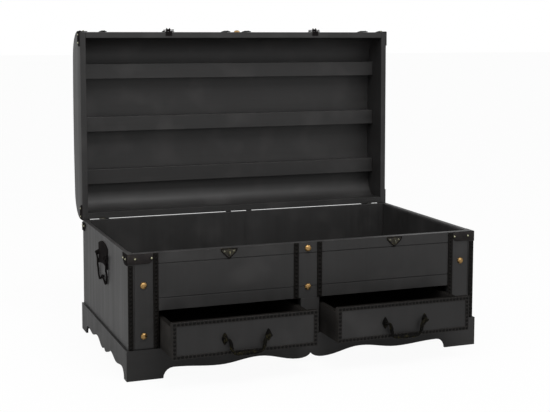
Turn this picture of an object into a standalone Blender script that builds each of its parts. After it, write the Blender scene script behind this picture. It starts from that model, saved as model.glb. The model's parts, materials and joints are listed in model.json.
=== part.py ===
"""Storage chest with a curved lid, two drawers in the base and drop handles.

Metres, +Z up, +X to the right of someone facing the front, the front faces -Y. The origin is on the
floor, under the middle of the body. The chest stands as it is displayed: the lid rests on its open stop
and both drawers are pulled out a little.
"""

import math

import bmesh
import bpy
from mathutils import Matrix, Vector

# Carcass
BASE_WIDTH = 0.900
BASE_DEPTH = 0.500
RIM_HEIGHT = 0.291
BOARD = 0.015
FRAME = 0.016
BASE_BOARD = 0.012
CHEST_FLOOR = 0.010
DIVIDER = 0.015
POST_WIDTH = 0.0711
CENTRE_STILE = 0.048
TOP_RAIL = 0.0255
LOWER_RAIL = 0.0285
OPENING_HEIGHT = 0.087
SEAT = 0.0003
OVERLAP = 0.0005
EASE = 0.0008

# Plinth
PLINTH_HEIGHT = 0.070
APRON = 0.0055
FRONT_FOOT = 0.0855
SIDE_FRONT_FOOT = 0.027
SIDE_BACK_FOOT = 0.053
FOOT_ROUND = 0.0240
FOOT_BLOCK_SET_BACK = 0.014
FRONT_BLOCK = 0.018
BACK_BLOCK = 0.012
SCALLOP_DIP_HEIGHT = 0.0175
SCALLOP_RISE_HEIGHT = 0.0285
SCALLOP_LOBE_HEIGHT = 0.0120
SCALLOP_CUSP_HEIGHT = 0.0260
SCALLOP_DIP_SHARE = 0.63
SCALLOP_RISE_SHARE = 0.36
SCALLOP_LOBE_SHARE = 0.085
BACK_CLEARANCE = 0.020
GROOVE = 0.0012

# Decorative straps and corner brackets
STRAP_WIDTH = 0.012
STRAP_THICKNESS = 0.004
MIDDLE_STRAP_SHIFT = -0.0060
BRACKET_SIDE = 0.0585
BRACKET_HEIGHT = 0.026
BRACKET_SHEET = 0.0026
RIM_LEAF = 0.0006
BRACKET_ROUND = 0.013
BACK_BRACKET = 0.040
BRACKET_SWING_CLEARANCE = 0.0004
LID_FRONT_BRACKET = 0.020

# Drawers
DRAWER_OUT = 0.108
DRAWER_LENGTH = 0.400
DRAWER_SIDE = 0.012
DRAWER_SIDE_HEIGHT = 0.070
DRAWER_BOTTOM = 0.004
DRAWER_REVEAL = 0.002
DRAWER_TOP_GAP = 0.003
DRAWER_FOOT_GAP = 0.0006
DRAWER_SIDE_STEP = 0.0015
DRAWER_BOTTOM_RISE = 0.008
GUIDE_CLEARANCE = 0.001
GUIDE_HEIGHT = 0.020
TRIM_BAND = 0.010
TRIM_THICKNESS = 0.0024
TRIM_MARGIN = 0.0005

# Drawer pulls
PULL_SPACING = 0.104
PULL_RISE = 0.038
PLATE_WIDTH = 0.014
PLATE_HEIGHT = 0.030
PLATE_SHEET = 0.0016
POST_RADIUS = 0.0042
POST_LENGTH = 0.0145
PULL_STAND_OFF = 0.0105
PULL_ROD = 0.0022
PULL_GRIP = 0.0042
PULL_DROP = 0.0385
PIN_CLEARANCE = 0.0004

# Side handles
HANDLE_PLATE_WIDTH = 0.096
HANDLE_PLATE_HEIGHT = 0.059
HANDLE_PLATE_ARCH = 0.008
HANDLE_PLATE_HOLLOW = 0.005
HANDLE_PLATE_SET_DOWN = 0.016
HANDLE_PIVOT_SET_DOWN = 0.031
HANDLE_SHEET = 0.002
HANDLE_STAND_OFF = 0.0075
HANDLE_ROD = 0.0023
HANDLE_BOSS = 0.0046
HANDLE_BOSS_LENGTH = 0.007
HANDLE_DROP = 0.068
HANDLE_CUSP = 0.051

# Lid
LID_ANGLE = math.radians(90.6)
LID_GAP = 0.0024
LID_RISE = 0.102
LID_RAIL = 0.030
LID_ROUND = 0.066
LID_SHELL = 0.012
BATTEN_WIDTH = 0.040
BATTEN_DEPTH = 0.056
BATTEN_SPACING = 0.142

# Hinges
HINGE_WIDTH = 0.012
HINGE_LEAF = 0.036
HINGE_SHEET = 0.0015
HINGE_BARREL = 0.0030
HINGE_PIN = 0.0012
HINGE_SET_BACK = 0.0010
HINGE_SINK = 0.0005
KNUCKLE_GAP = 0.0003
POCKET_CLEARANCE = 0.0006

# Hasps and catches
HASP_SPACING = 0.4265
HASP_SHIFT = 0.0093
HASP_PLATE_WIDTH = 0.036
HASP_PLATE_HEIGHT = 0.020
HASP_PLATE_RISE = 0.0015
HASP_PLATE_SHEET = 0.0024
HASP_KNUCKLE = 0.0028
HASP_EAR = 0.0025
HASP_WIDTH = 0.0100
HASP_LENGTH = 0.036
HASP_SHEET = 0.0022
HASP_PIN = 0.0012
HASP_PIN_END = 0.008
HASP_RISE = 0.007
HASP_SLOT = 0.0038
CATCH_WIDTH = 0.041
CATCH_HEIGHT = 0.026
CATCH_SHEET = 0.0015
STAPLE_RADIUS = 0.0050
STAPLE_WIRE = 0.0012
STAPLE_DROP = 0.0135

# Places worked out from the sizes above
HALF_WIDTH = BASE_WIDTH / 2 - APRON
FRONT = APRON - BASE_DEPTH / 2
BACK = BASE_DEPTH / 2
INSIDE = HALF_WIDTH - BOARD
FRAME_BACK = FRONT + FRAME
INNER_BACK = BACK - BOARD
OPENING_OUTER = HALF_WIDTH - POST_WIDTH
OPENING_INNER = CENTRE_STILE / 2
OPENING_TOP = PLINTH_HEIGHT + OPENING_HEIGHT
BOARD_FOOT = PLINTH_HEIGHT - BASE_BOARD
FOOT_INNER = BASE_WIDTH / 2 - FRONT_FOOT
SIDE_ARCH_FRONT = SIDE_FRONT_FOOT - BASE_DEPTH / 2
SIDE_ARCH_BACK = BACK - SIDE_BACK_FOOT
HINGE_Y = BACK + HINGE_SET_BACK
HINGE_Z = RIM_HEIGHT - HINGE_SINK
HINGE_X = OPENING_OUTER + STRAP_WIDTH + 0.001 + HINGE_WIDTH / 2
LID_MIDDLE = (FRONT + BACK) / 2
LID_HALF = (BACK - FRONT) / 2
LID_BASE = RIM_HEIGHT + LID_GAP
HANDLE_PLATE_TOP = RIM_HEIGHT - HANDLE_PLATE_SET_DOWN
HANDLE_PIVOT_HEIGHT = HANDLE_PLATE_TOP - HANDLE_PIVOT_SET_DOWN
HASP_X = {"left": HASP_SHIFT - HASP_SPACING / 2, "right": HASP_SHIFT + HASP_SPACING / 2}
STRAP_EDGES = (
    (OPENING_OUTER, OPENING_OUTER + STRAP_WIDTH),
    (HALF_WIDTH - STRAP_WIDTH, HALF_WIDTH),
    (OPENING_INNER, OPENING_INNER + STRAP_WIDTH),
)

SIDES = (("left", -1), ("right", 1))

MATERIALS = {
    "charcoal_wood": ((0.030, 0.030, 0.031), 0.55, 0.0),
    "dark_trim": ((0.012, 0.012, 0.012), 0.45, 0.0),
    "inner_wood": ((0.040, 0.037, 0.034), 0.75, 0.0),
    "black_iron": ((0.015, 0.014, 0.012), 0.40, 0.8),
}


def clear_scene():
    for obj in list(bpy.data.objects):
        bpy.data.objects.remove(obj, do_unlink=True)


def material(slot):
    """The Principled material of one finish, made the first time it is asked for."""
    found = bpy.data.materials.get(slot)
    if found:
        return found
    colour, roughness, metallic = MATERIALS[slot]
    made = bpy.data.materials.new(slot)
    made.use_nodes = True
    shader = made.node_tree.nodes["Principled BSDF"]
    shader.inputs["Base Color"].default_value = (*colour, 1.0)
    shader.inputs["Roughness"].default_value = roughness
    shader.inputs["Metallic"].default_value = metallic
    return made


def pivot(name, at, turn=0.0):
    """An empty that carries the pieces of one moving body."""
    empty = bpy.data.objects.new(name, None)
    empty.location = at
    empty.rotation_euler = (turn, 0.0, 0.0)
    bpy.context.scene.collection.objects.link(empty)
    return empty


def add(name, shape, slot, origin=(0.0, 0.0, 0.0), carrier=None, smooth=0.0):
    """Turn a bmesh into a named object with its origin at a given point of the closed chest."""
    bmesh.ops.recalc_face_normals(shape, faces=shape.faces)
    bmesh.ops.translate(shape, verts=shape.verts, vec=-Vector(origin))
    mesh = bpy.data.meshes.new(name)
    shape.to_mesh(mesh)
    shape.free()
    mesh.materials.append(material(slot))
    if smooth:
        mesh.shade_smooth()
        mesh.set_sharp_from_angle(angle=smooth)
    obj = bpy.data.objects.new(name, mesh)
    obj.location = origin
    if carrier:
        obj.parent = carrier
        obj.location = Vector(origin) - HOME[carrier.name]
    bpy.context.scene.collection.objects.link(obj)
    return obj


def ease_edges(obj, width=EASE):
    """Take the sharp arris off a board."""
    bevel = obj.modifiers.new("eased_edges", "BEVEL")
    bevel.width = width
    bevel.segments = 1
    bevel.limit_method = "ANGLE"
    bevel.angle_limit = math.radians(40)


def box(shape, x, y, z):
    """Add a box between pairs of limits."""
    corners = bmesh.ops.create_cube(shape, size=1.0)["verts"]
    size = Matrix.Diagonal((x[1] - x[0], y[1] - y[0], z[1] - z[0], 1.0))
    centre = Vector((sum(x) / 2, sum(y) / 2, sum(z) / 2))
    bmesh.ops.transform(shape, matrix=Matrix.Translation(centre) @ size, verts=corners)


def board(name, x, y, z, slot="charcoal_wood", carrier=None):
    """A plain board with eased edges, between pairs of limits."""
    shape = bmesh.new()
    box(shape, x, y, z)
    centre = (sum(x) / 2, sum(y) / 2, sum(z) / 2)
    obj = add(name, shape, slot, centre, carrier)
    ease_edges(obj)
    return obj


def place(axis, a, b, along):
    """A point of a prism's outline: a and b are the other two coordinates, in X, Y, Z order."""
    return {"X": (along, a, b), "Y": (a, along, b), "Z": (a, b, along)}[axis]


def prism(shape, outline, axis, limits):
    """Extrude a closed outline along an axis."""
    ends = [[shape.verts.new(place(axis, a, b, along)) for a, b in outline] for along in limits]
    shape.faces.new(ends[0])
    shape.faces.new(reversed(ends[1]))
    for here in range(len(outline)):
        after = (here + 1) % len(outline)
        shape.faces.new((ends[0][here], ends[1][here], ends[1][after], ends[0][after]))


def cylinder(shape, centre, radius, axis, length, sides=20):
    """Add a cylinder centred on a point."""
    a, b = [value for value, letter in zip(centre, "XYZ") if letter != axis]
    middle = centre["XYZ".index(axis)]
    outline = arc(a, b, radius, 0.0, math.tau, sides)[:-1]
    prism(shape, outline, axis, (middle - length / 2, middle + length / 2))


def arc(a, b, radius, start, end, steps):
    """Points along an arc about (a, b)."""
    angles = [start + (end - start) * i / steps for i in range(steps + 1)]
    return [(a + radius * math.cos(t), b + radius * math.sin(t)) for t in angles]


def tube(shape, path, across, sides=8):
    """Sweep a round rod of changing radius along a flat path of (point, radius)."""
    across = Vector(across)
    points = [Vector(point) for point, _ in path]
    rings = []
    for i, (_, radius) in enumerate(path):
        before = points[i] - points[max(i - 1, 0)]
        after = points[min(i + 1, len(points) - 1)] - points[i]
        tangent = (before.normalized() + after.normalized()).normalized()
        side = tangent.cross(across)
        widen = 1.0 / max(0.6, tangent.dot(after.normalized() if after.length else before.normalized()))
        ring = []
        for k in range(sides):
            t = math.tau * (k + 0.5) / sides
            offset = side * (radius * widen * math.cos(t)) + across * (radius * math.sin(t))
            ring.append(shape.verts.new(points[i] + offset))
        rings.append(ring)
    shape.faces.new(rings[0])
    shape.faces.new(reversed(rings[-1]))
    for low, high in zip(rings, rings[1:]):
        for k in range(sides):
            m = (k + 1) % sides
            shape.faces.new((low[k], low[m], high[m], high[k]))


def smooth_path(knots, steps):
    """A smooth curve through (a, b, radius) knots, with Catmull-Rom tangents."""
    ends = [knots[0], *knots, knots[-1]]
    path = []
    for p0, p1, p2, p3 in zip(ends, ends[1:], ends[2:], ends[3:]):
        for i in range(steps):
            t = i / steps
            weights = (
                (-t**3 + 2 * t**2 - t) / 2,
                (3 * t**3 - 5 * t**2 + 2) / 2,
                (-3 * t**3 + 4 * t**2 + t) / 2,
                (t**3 - t**2) / 2,
            )
            path.append(tuple(sum(w * p[k] for w, p in zip(weights, (p0, p1, p2, p3))) for k in range(3)))
    path.append(knots[-1])
    return path


def mirrored(shape, x=1.0, y=1.0):
    """A mirrored copy of a shape; add() turns its faces outwards again."""
    copy = shape.copy()
    bmesh.ops.scale(copy, vec=(x, y, 1.0), verts=copy.verts)
    return copy


def solid(*calls):
    """A shape built by one or more (function, arguments...) calls."""
    shape = bmesh.new()
    for function, *arguments in calls:
        function(shape, *arguments)
    bmesh.ops.recalc_face_normals(shape, faces=shape.faces)
    return shape


def combined(base, others, operation="UNION"):
    """One closed solid from several, by the exact Boolean."""
    objects = []
    for shape in (base, *others):
        mesh = bpy.data.meshes.new("operand")
        shape.to_mesh(mesh)
        shape.free()
        operand = bpy.data.objects.new("operand", mesh)
        bpy.context.scene.collection.objects.link(operand)
        objects.append(operand)
    for operand in objects[1:]:
        step = objects[0].modifiers.new("combine", "BOOLEAN")
        step.object = operand
        step.operation = operation
    evaluated = objects[0].evaluated_get(bpy.context.evaluated_depsgraph_get())
    result = bmesh.new()
    result.from_mesh(evaluated.to_mesh())
    for operand in objects:
        bpy.data.objects.remove(operand, do_unlink=True)
    return result


def sides_of(low, high, sign):
    """Limits along X on the left (sign -1) or the right (sign 1)."""
    return (low, high) if sign > 0 else (-high, -low)


def scallop(left, right):
    """The lower edge of an apron between its feet: rounds, dips, rises and a pointed middle."""
    half = (right - left) / 2
    middle = (right + left) / 2
    edge = arc(half - FOOT_ROUND, 0.0, FOOT_ROUND, 0.0, math.pi / 2, 5)
    turns = (
        (half - FOOT_ROUND, FOOT_ROUND),
        (half * SCALLOP_DIP_SHARE, SCALLOP_DIP_HEIGHT),
        (half * SCALLOP_RISE_SHARE, SCALLOP_RISE_HEIGHT),
        (half * SCALLOP_LOBE_SHARE, SCALLOP_LOBE_HEIGHT),
    )
    steps = 7
    for (a0, b0), (a1, b1) in zip(turns, turns[1:]):
        for i in range(1, steps + 1):
            swing = (1 - math.cos(math.pi * i / steps)) / 2
            edge.append((a0 + (a1 - a0) * i / steps, b0 + (b1 - b0) * swing))
    lobe, low = turns[-1]
    for i in range(1, 6):
        t = math.pi / 2 * i / 5
        edge.append((lobe * (1 - math.sin(t)), low + (SCALLOP_CUSP_HEIGHT - low) * (1 - math.cos(t))))
    right_half = [(middle + a, b) for a, b in edge]
    left_half = [(middle - a, b) for a, b in edge[:-1]]
    return left_half + right_half[::-1]


def lid_curve(outset=0.0):
    """The lid's outline from the top of the front rail, over the crown, to the back rail.

    Two rounded shoulders meet one flat arch; outset moves the whole line outwards.
    """
    reach = LID_HALF - LID_ROUND
    climb = LID_RISE - LID_RAIL
    crown = (reach**2 + climb**2 - LID_ROUND**2) / (2 * (climb - LID_ROUND))
    lean = math.asin(reach / (crown - LID_ROUND))
    rail_top = LID_BASE + LID_RAIL
    shoulder = arc(LID_MIDDLE - reach, rail_top, LID_ROUND + outset, math.pi, math.pi / 2 + lean, 9)
    top = arc(LID_MIDDLE, LID_BASE + LID_RISE - crown, crown + outset,
              math.pi / 2 + lean, math.pi / 2 - lean, 12)
    far_shoulder = [(2 * LID_MIDDLE - y, z) for y, z in reversed(shoulder)]
    return shoulder + top[1:-1] + far_shoulder


def lid_inner_height(y):
    """Height of the shell's inner face above a place along the lid's depth."""
    inner = lid_curve(-LID_SHELL)
    for (y0, z0), (y1, z1) in zip(inner, inner[1:]):
        if y0 <= y <= y1:
            return z0 + (z1 - z0) * (y - y0) / (y1 - y0)
    raise ValueError("outside the lid")


def make_carcass():
    """The boards of the body: sides, back, front frame, floors and the partition between the drawers."""
    for side, sign in SIDES:
        board(f"side_board_{side}", sides_of(INSIDE + SEAT, HALF_WIDTH, sign), (FRONT, BACK),
              (BOARD_FOOT, RIM_HEIGHT))
        board(f"corner_post_{side}", sides_of(OPENING_OUTER, INSIDE, sign), (FRONT, FRAME_BACK),
              (PLINTH_HEIGHT + SEAT, RIM_HEIGHT))
    across = (-INSIDE, INSIDE)
    between = (FRAME_BACK + SEAT, INNER_BACK - SEAT)
    board("chest_floor", across, between, (OPENING_TOP, OPENING_TOP + CHEST_FLOOR))
    make_front_board()
    make_back_board()
    upright = (PLINTH_HEIGHT + SEAT, OPENING_TOP - SEAT)
    stile = solid((box, (-OPENING_INNER, OPENING_INNER), (FRONT, FRAME_BACK), upright))
    divider = solid((box, (-DIVIDER / 2, DIVIDER / 2), (FRAME_BACK - OVERLAP, between[1]), upright))
    add("centre_partition", combined(stile, [divider]), "charcoal_wood", (0.0, FRONT, PLINTH_HEIGHT))
    make_base_board(across, between)


def make_front_board():
    """The board over the drawers, with a groove above the drawers and one under the top band."""
    section = [(FRONT, OPENING_TOP)]
    for seam in (OPENING_TOP + LOWER_RAIL, RIM_HEIGHT - TOP_RAIL):
        section += [(FRONT, seam - GROOVE), (FRONT + GROOVE, seam), (FRONT, seam + GROOVE)]
    section += [(FRONT, RIM_HEIGHT), (FRAME_BACK, RIM_HEIGHT), (FRAME_BACK, OPENING_TOP)]
    shape = solid((prism, section, "X", (-OPENING_OUTER + SEAT, OPENING_OUTER - SEAT)))
    add("front_board", shape, "charcoal_wood", (0.0, FRONT, OPENING_TOP))


def hinge_pocket(shape, low, high):
    """Room in the edge of a back board for the barrel of each hinge."""
    half = HINGE_WIDTH / 2 + POCKET_CLEARANCE
    depth = HINGE_BARREL - HINGE_SET_BACK + POCKET_CLEARANCE
    cutters = [solid((box, (sign * HINGE_X - half, sign * HINGE_X + half), (BACK - depth, BACK + depth),
                      (low, high))) for sign in (-1, 1)]
    return combined(shape, cutters, "DIFFERENCE")


def make_back_board():
    """The back, which comes down between the back feet, with a pocket for each hinge barrel."""
    tongue = FOOT_INNER - SEAT
    foot = BOARD_FOOT
    outline = [(-INSIDE, RIM_HEIGHT), (-INSIDE, foot), (-tongue, foot), (-tongue, BACK_CLEARANCE),
               (tongue, BACK_CLEARANCE), (tongue, foot), (INSIDE, foot), (INSIDE, RIM_HEIGHT)]
    shape = solid((prism, outline, "Y", (INNER_BACK, BACK)))
    low = HINGE_Z - HINGE_BARREL - POCKET_CLEARANCE
    shape = hinge_pocket(shape, low, RIM_HEIGHT + OVERLAP)
    add("back_board", shape, "charcoal_wood", (0.0, BACK, RIM_HEIGHT))


def drawer_span():
    """Limits of a drawer front and of its box, measured from the middle of the chest."""
    front = (OPENING_INNER + DRAWER_REVEAL, OPENING_OUTER - DRAWER_REVEAL)
    return front, (front[0] + DRAWER_SIDE_STEP, front[1] - DRAWER_SIDE_STEP)


def make_base_board(across, between):
    """The board that the drawers slide on, with four strips that keep them straight."""
    _, case = drawer_span()
    inner_face = case[0] - GUIDE_CLEARANCE
    outer_face = case[1] + GUIDE_CLEARANCE
    width = inner_face - DIVIDER / 2 - SEAT
    floor = solid((box, across, (FRONT, between[1]), (BOARD_FOOT, PLINTH_HEIGHT)))
    strips = []
    for _, sign in SIDES:
        for low in (inner_face - width, outer_face):
            strips.append(solid((box, sides_of(low, low + width, sign), (between[0], between[1] - OVERLAP),
                                 (PLINTH_HEIGHT - OVERLAP, PLINTH_HEIGHT + GUIDE_HEIGHT))))
    add("base_board", combined(floor, strips), "inner_wood", (0.0, 0.0, PLINTH_HEIGHT))


def make_plinth():
    """Scalloped aprons on three sides; each side apron carries the blocks that stand in its feet."""
    half = BASE_WIDTH / 2
    outline = [(-half, 0.0), *scallop(-FOOT_INNER, FOOT_INNER), (half, 0.0), (half, PLINTH_HEIGHT),
               (-half, PLINTH_HEIGHT)]
    shape = solid((prism, outline, "Y", (FRONT - APRON, FRONT - SEAT)))
    add("plinth_front", shape, "charcoal_wood", (0.0, FRONT - APRON / 2, 0.0))
    outline = [(FRONT, 0.0), *scallop(SIDE_ARCH_FRONT, SIDE_ARCH_BACK), (BACK, 0.0),
               (BACK, PLINTH_HEIGHT), (FRONT, PLINTH_HEIGHT)]
    top = BOARD_FOOT - SEAT
    for side, sign in SIDES:
        apron = solid((prism, outline, "X", sides_of(HALF_WIDTH + SEAT, half, sign)))
        across = sides_of(FOOT_INNER + FOOT_BLOCK_SET_BACK, HALF_WIDTH + SEAT + OVERLAP, sign)
        blocks = [solid((box, across, limits, (0.0, top)))
                  for limits in ((FRONT, FRONT + FRONT_BLOCK), (BACK - BACK_BLOCK, BACK))]
        add(f"plinth_{side}", combined(apron, blocks), "charcoal_wood", (sign * half, 0.0, 0.0))


def strap_span(edges, shift, sign):
    """Where a strap runs across the front; the middle pair is shifted a little to one side."""
    return tuple(x + shift for x in sides_of(*edges, sign))


def make_straps():
    """Raised strips in pairs on the corner posts and near the middle."""
    face = (FRONT - SEAT - STRAP_THICKNESS, FRONT - SEAT)
    under_bracket = RIM_HEIGHT - BRACKET_HEIGHT - SEAT
    limits = {
        "inner": (STRAP_EDGES[0], 0.0, PLINTH_HEIGHT + SEAT, RIM_HEIGHT),
        "outer": (STRAP_EDGES[1], 0.0, PLINTH_HEIGHT + SEAT, under_bracket),
        "centre": (STRAP_EDGES[2], MIDDLE_STRAP_SHIFT, OPENING_TOP, RIM_HEIGHT),
    }
    for place_across, (edges, shift, foot, head) in limits.items():
        for side, sign in SIDES:
            across = strap_span(edges, shift, sign)
            strip = solid((box, across, face, (foot, head)))
            origin = (sum(across) / 2, FRONT, foot)
            ease_edges(add(f"{place_across}_strap_{side}", strip, "dark_trim", origin), 0.0012)


def lid_ridge(edges, foot, over_rails):
    """A strap over the lid: clear of the rails and sunk a little into the board that carries it."""
    over = lid_curve(SEAT + STRAP_THICKNESS)
    outline = [(over[0][0], foot), *over, (over[-1][0], foot)]
    if over_rails:
        step = LID_BASE + LID_RAIL + SEAT
        outline += [(BACK + SEAT, foot), (BACK + SEAT, step)]
        inner = lid_curve(-0.002)
        outline += [(inner[-1][0], step), *reversed(inner[1:-1]), (inner[0][0], step)]
        outline += [(FRONT - SEAT, step), (FRONT - SEAT, foot)]
    return solid((prism, outline, "X", edges))


def corner_cap(rim, up, face_length, relief=0.0):
    """A corner bracket for the right front corner: front leaf, side leaf and a thin leaf on the rim.

    rim is the height of the board's rim, and up is 1 where the leaves reach up from it, or -1 down.
    relief is how far the leaf on the face stays back from the rim, where a bracket above swings past it.
    """
    inner = SEAT
    outer = SEAT + BRACKET_SHEET
    start = rim - up * (SEAT + RIM_LEAF)
    tip = rim + up * BRACKET_HEIGHT
    rounding = arc(0.0, 0.0, BRACKET_ROUND, math.pi / 2, 0.0, 5)

    def leaf(length):
        """Outline of a leaf that starts at the corner and ends in a quarter round."""
        line = [(-outer, start), (-outer, tip)]
        line += [(length - BRACKET_ROUND + a, tip - up * (BRACKET_ROUND - b)) for a, b in rounding]
        return line + [(length, start)]

    right = HALF_WIDTH
    front_leaf = [(right - a, z) for a, z in leaf(face_length)]
    side_leaf = [(FRONT + a, z) for a, z in leaf(BRACKET_SIDE)]
    rim_leaf = [(right + outer, FRONT - outer), (right + outer, FRONT + BRACKET_SIDE),
                (INSIDE, FRONT + BRACKET_SIDE), (INSIDE, FRAME_BACK), (right - face_length, FRAME_BACK),
                (right - face_length, FRONT - outer)]
    cap = combined(
        solid((prism, front_leaf, "Y", (FRONT - outer, FRONT - inner))),
        [
            solid((prism, side_leaf, "X", (right + inner, right + outer))),
            solid((prism, rim_leaf, "Z", sorted((start, rim - up * SEAT)))),
        ],
    )
    if not relief:
        return cap
    past = 2 * outer
    heights = sorted((rim + up * relief, rim - up * past))
    cutter = solid((box, (right - face_length - past, right + past), (FRONT - past, FRONT), heights))
    return combined(cap, [cutter], "DIFFERENCE")


def make_brackets(kind, rim, up, face_lengths, carrier=None):
    """Four corner brackets; the back pair mirrors the front pair about the body's middle."""
    swing = HINGE_SINK + SEAT + BRACKET_SHEET - HINGE_SET_BACK + BRACKET_SWING_CLEARANCE
    for (end, y_sign), face_length in zip((("front", 1), ("back", -1)), face_lengths):
        cap = corner_cap(rim, up, face_length, swing if up < 0 and y_sign < 0 else 0.0)
        bmesh.ops.translate(cap, verts=cap.verts, vec=(0.0, -LID_MIDDLE, 0.0))
        for side, x_sign in SIDES:
            copy = mirrored(cap, x_sign, y_sign)
            bmesh.ops.translate(copy, verts=copy.verts, vec=(0.0, LID_MIDDLE, 0.0))
            corner = (x_sign * HALF_WIDTH, LID_MIDDLE - y_sign * LID_HALF, rim)
            add(f"{kind}_bracket_{end}_{side}", copy, "black_iron", corner, carrier)
        cap.free()


def catch(x):
    """A heart-shaped catch plate with its staple."""
    half = CATCH_WIDTH / 2
    top = RIM_HEIGHT - 0.0005
    shoulder = top - CATCH_HEIGHT * 0.25
    point = top - CATCH_HEIGHT
    outline = [(x - half, top), (x - half, shoulder)]
    for share in (0.25, 0.5, 0.75):
        bow = math.sin(math.pi * share) * 0.0012
        outline.append((x - half * (1 - share) - bow, shoulder + (point - shoulder) * share - bow))
    outline.append((x, point))
    outline += [(2 * x - a, b) for a, b in reversed(outline[:-1])]
    face = FRONT - SEAT - CATCH_SHEET
    plate = solid((prism, outline, "Y", (face, FRONT - SEAT)))
    centre = RIM_HEIGHT - STAPLE_DROP
    bow = [((x, face + 0.0007, centre - STAPLE_RADIUS), STAPLE_WIRE)]
    for a, b in arc(0.0, 0.0, STAPLE_RADIUS, -math.pi / 2, math.pi / 2, 8):
        bow.append(((x, face - 0.0020 - a, centre + b), STAPLE_WIRE))
    bow.append(((x, face + 0.0007, centre + STAPLE_RADIUS), STAPLE_WIRE))
    return combined(plate, [solid((tube, bow, (1.0, 0.0, 0.0)))])


def make_catches():
    """A catch under each hasp."""
    for side, x in HASP_X.items():
        add(f"catch_{side}", catch(x), "black_iron", (x, FRONT, RIM_HEIGHT))


def hinge_leaf(x, up):
    """One leaf of a hinge: the body's (up -1) has the outer knuckles and the pin, the lid's the middle."""
    third = HINGE_WIDTH / 3
    half = HINGE_WIDTH / 2
    near = HINGE_BARREL + POCKET_CLEARANCE
    face = (BACK + SEAT, BACK + SEAT + HINGE_SHEET)

    def reach(low, high):
        return sorted((HINGE_Z + up * low, HINGE_Z + up * high))

    if up > 0:
        spans = [(x - third / 2, x + third / 2)]
    else:
        gap = third / 2 + KNUCKLE_GAP
        spans = [(x - half, x - gap), (x + gap, x + half)]
    pieces = []
    for span in spans:
        middle = (sum(span) / 2, HINGE_Y, HINGE_Z)
        pieces.append(solid((cylinder, middle, HINGE_BARREL, "X", span[1] - span[0])))
        pieces.append(solid((box, span, face, reach(HINGE_BARREL / 2, near + OVERLAP))))
    plate = solid((box, (x - half, x + half), face, reach(near, HINGE_LEAF)))
    if up > 0:
        bore = solid((cylinder, (x, HINGE_Y, HINGE_Z), HINGE_PIN + PIN_CLEARANCE, "X", HINGE_WIDTH, 16))
        return combined(combined(plate, pieces), [bore], "DIFFERENCE")
    pin = solid((cylinder, (x, HINGE_Y, HINGE_Z), HINGE_PIN, "X", HINGE_WIDTH - OVERLAP, 12))
    return combined(plate, [*pieces, pin])


def make_hinges(lid):
    """Two narrow hinges on the back, beside the inner straps of the lid."""
    for side, sign in SIDES:
        at = (sign * HINGE_X, HINGE_Y, HINGE_Z)
        add(f"hinge_leaf_body_{side}", hinge_leaf(at[0], -1), "black_iron", at)
        add(f"hinge_leaf_lid_{side}", hinge_leaf(at[0], 1), "black_iron", at, lid)


def make_lid_boards(lid):
    """End boards, rails, the curved top with its straps, and the battens inside it."""
    hinge_line = (0.0, HINGE_Y, HINGE_Z)
    outer = lid_curve()
    outline = [(FRONT, LID_BASE), *outer, (BACK, LID_BASE)]
    post_inner, post_outer, middle = STRAP_EDGES
    above_bracket = LID_BASE + BRACKET_HEIGHT + SEAT
    for side, sign in SIDES:
        end = solid((prism, outline, "X", sides_of(INSIDE + SEAT, HALF_WIDTH, sign)))
        strap = lid_ridge(sides_of(*post_outer, sign), above_bracket, False)
        add(f"lid_end_{side}", combined(end, [strap]), "charcoal_wood", hinge_line, lid)
    across = (-INSIDE, INSIDE)
    rise = (LID_BASE, LID_BASE + LID_RAIL - SEAT)
    board("lid_front_rail", across, (FRONT, FRAME_BACK), rise, carrier=lid)
    rail = solid((box, across, (BACK - FRAME, BACK), rise))
    high = HINGE_Z + HINGE_BARREL + POCKET_CLEARANCE
    rail = hinge_pocket(rail, LID_BASE - OVERLAP, high)
    add("lid_back_rail", rail, "charcoal_wood", hinge_line, lid)
    shell = solid((prism, [*outer, *reversed(lid_curve(-LID_SHELL))], "X", across))
    straps = [lid_ridge(strap_span(edges, shift, sign), LID_BASE, True)
              for edges, shift in ((post_inner, 0.0), (middle, MIDDLE_STRAP_SHIFT)) for _, sign in SIDES]
    add("lid_top", combined(shell, straps), "charcoal_wood", hinge_line, lid, smooth=math.radians(30))
    for place_along, step in (("front", -1), ("middle", 0), ("back", 1)):
        centre = LID_MIDDLE + step * BATTEN_SPACING
        edges = [centre + BATTEN_WIDTH * (share - 0.5) for share in (0.0, 0.5, 1.0)]
        section = [(y, lid_inner_height(y) - SEAT) for y in edges]
        section += [(edges[2], LID_BASE + BATTEN_DEPTH), (edges[0], LID_BASE + BATTEN_DEPTH)]
        batten = solid((prism, section, "X", across))
        origin = (0.0, centre, LID_BASE + BATTEN_DEPTH)
        ease_edges(add(f"lid_batten_{place_along}", batten, "charcoal_wood", origin, lid))


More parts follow.
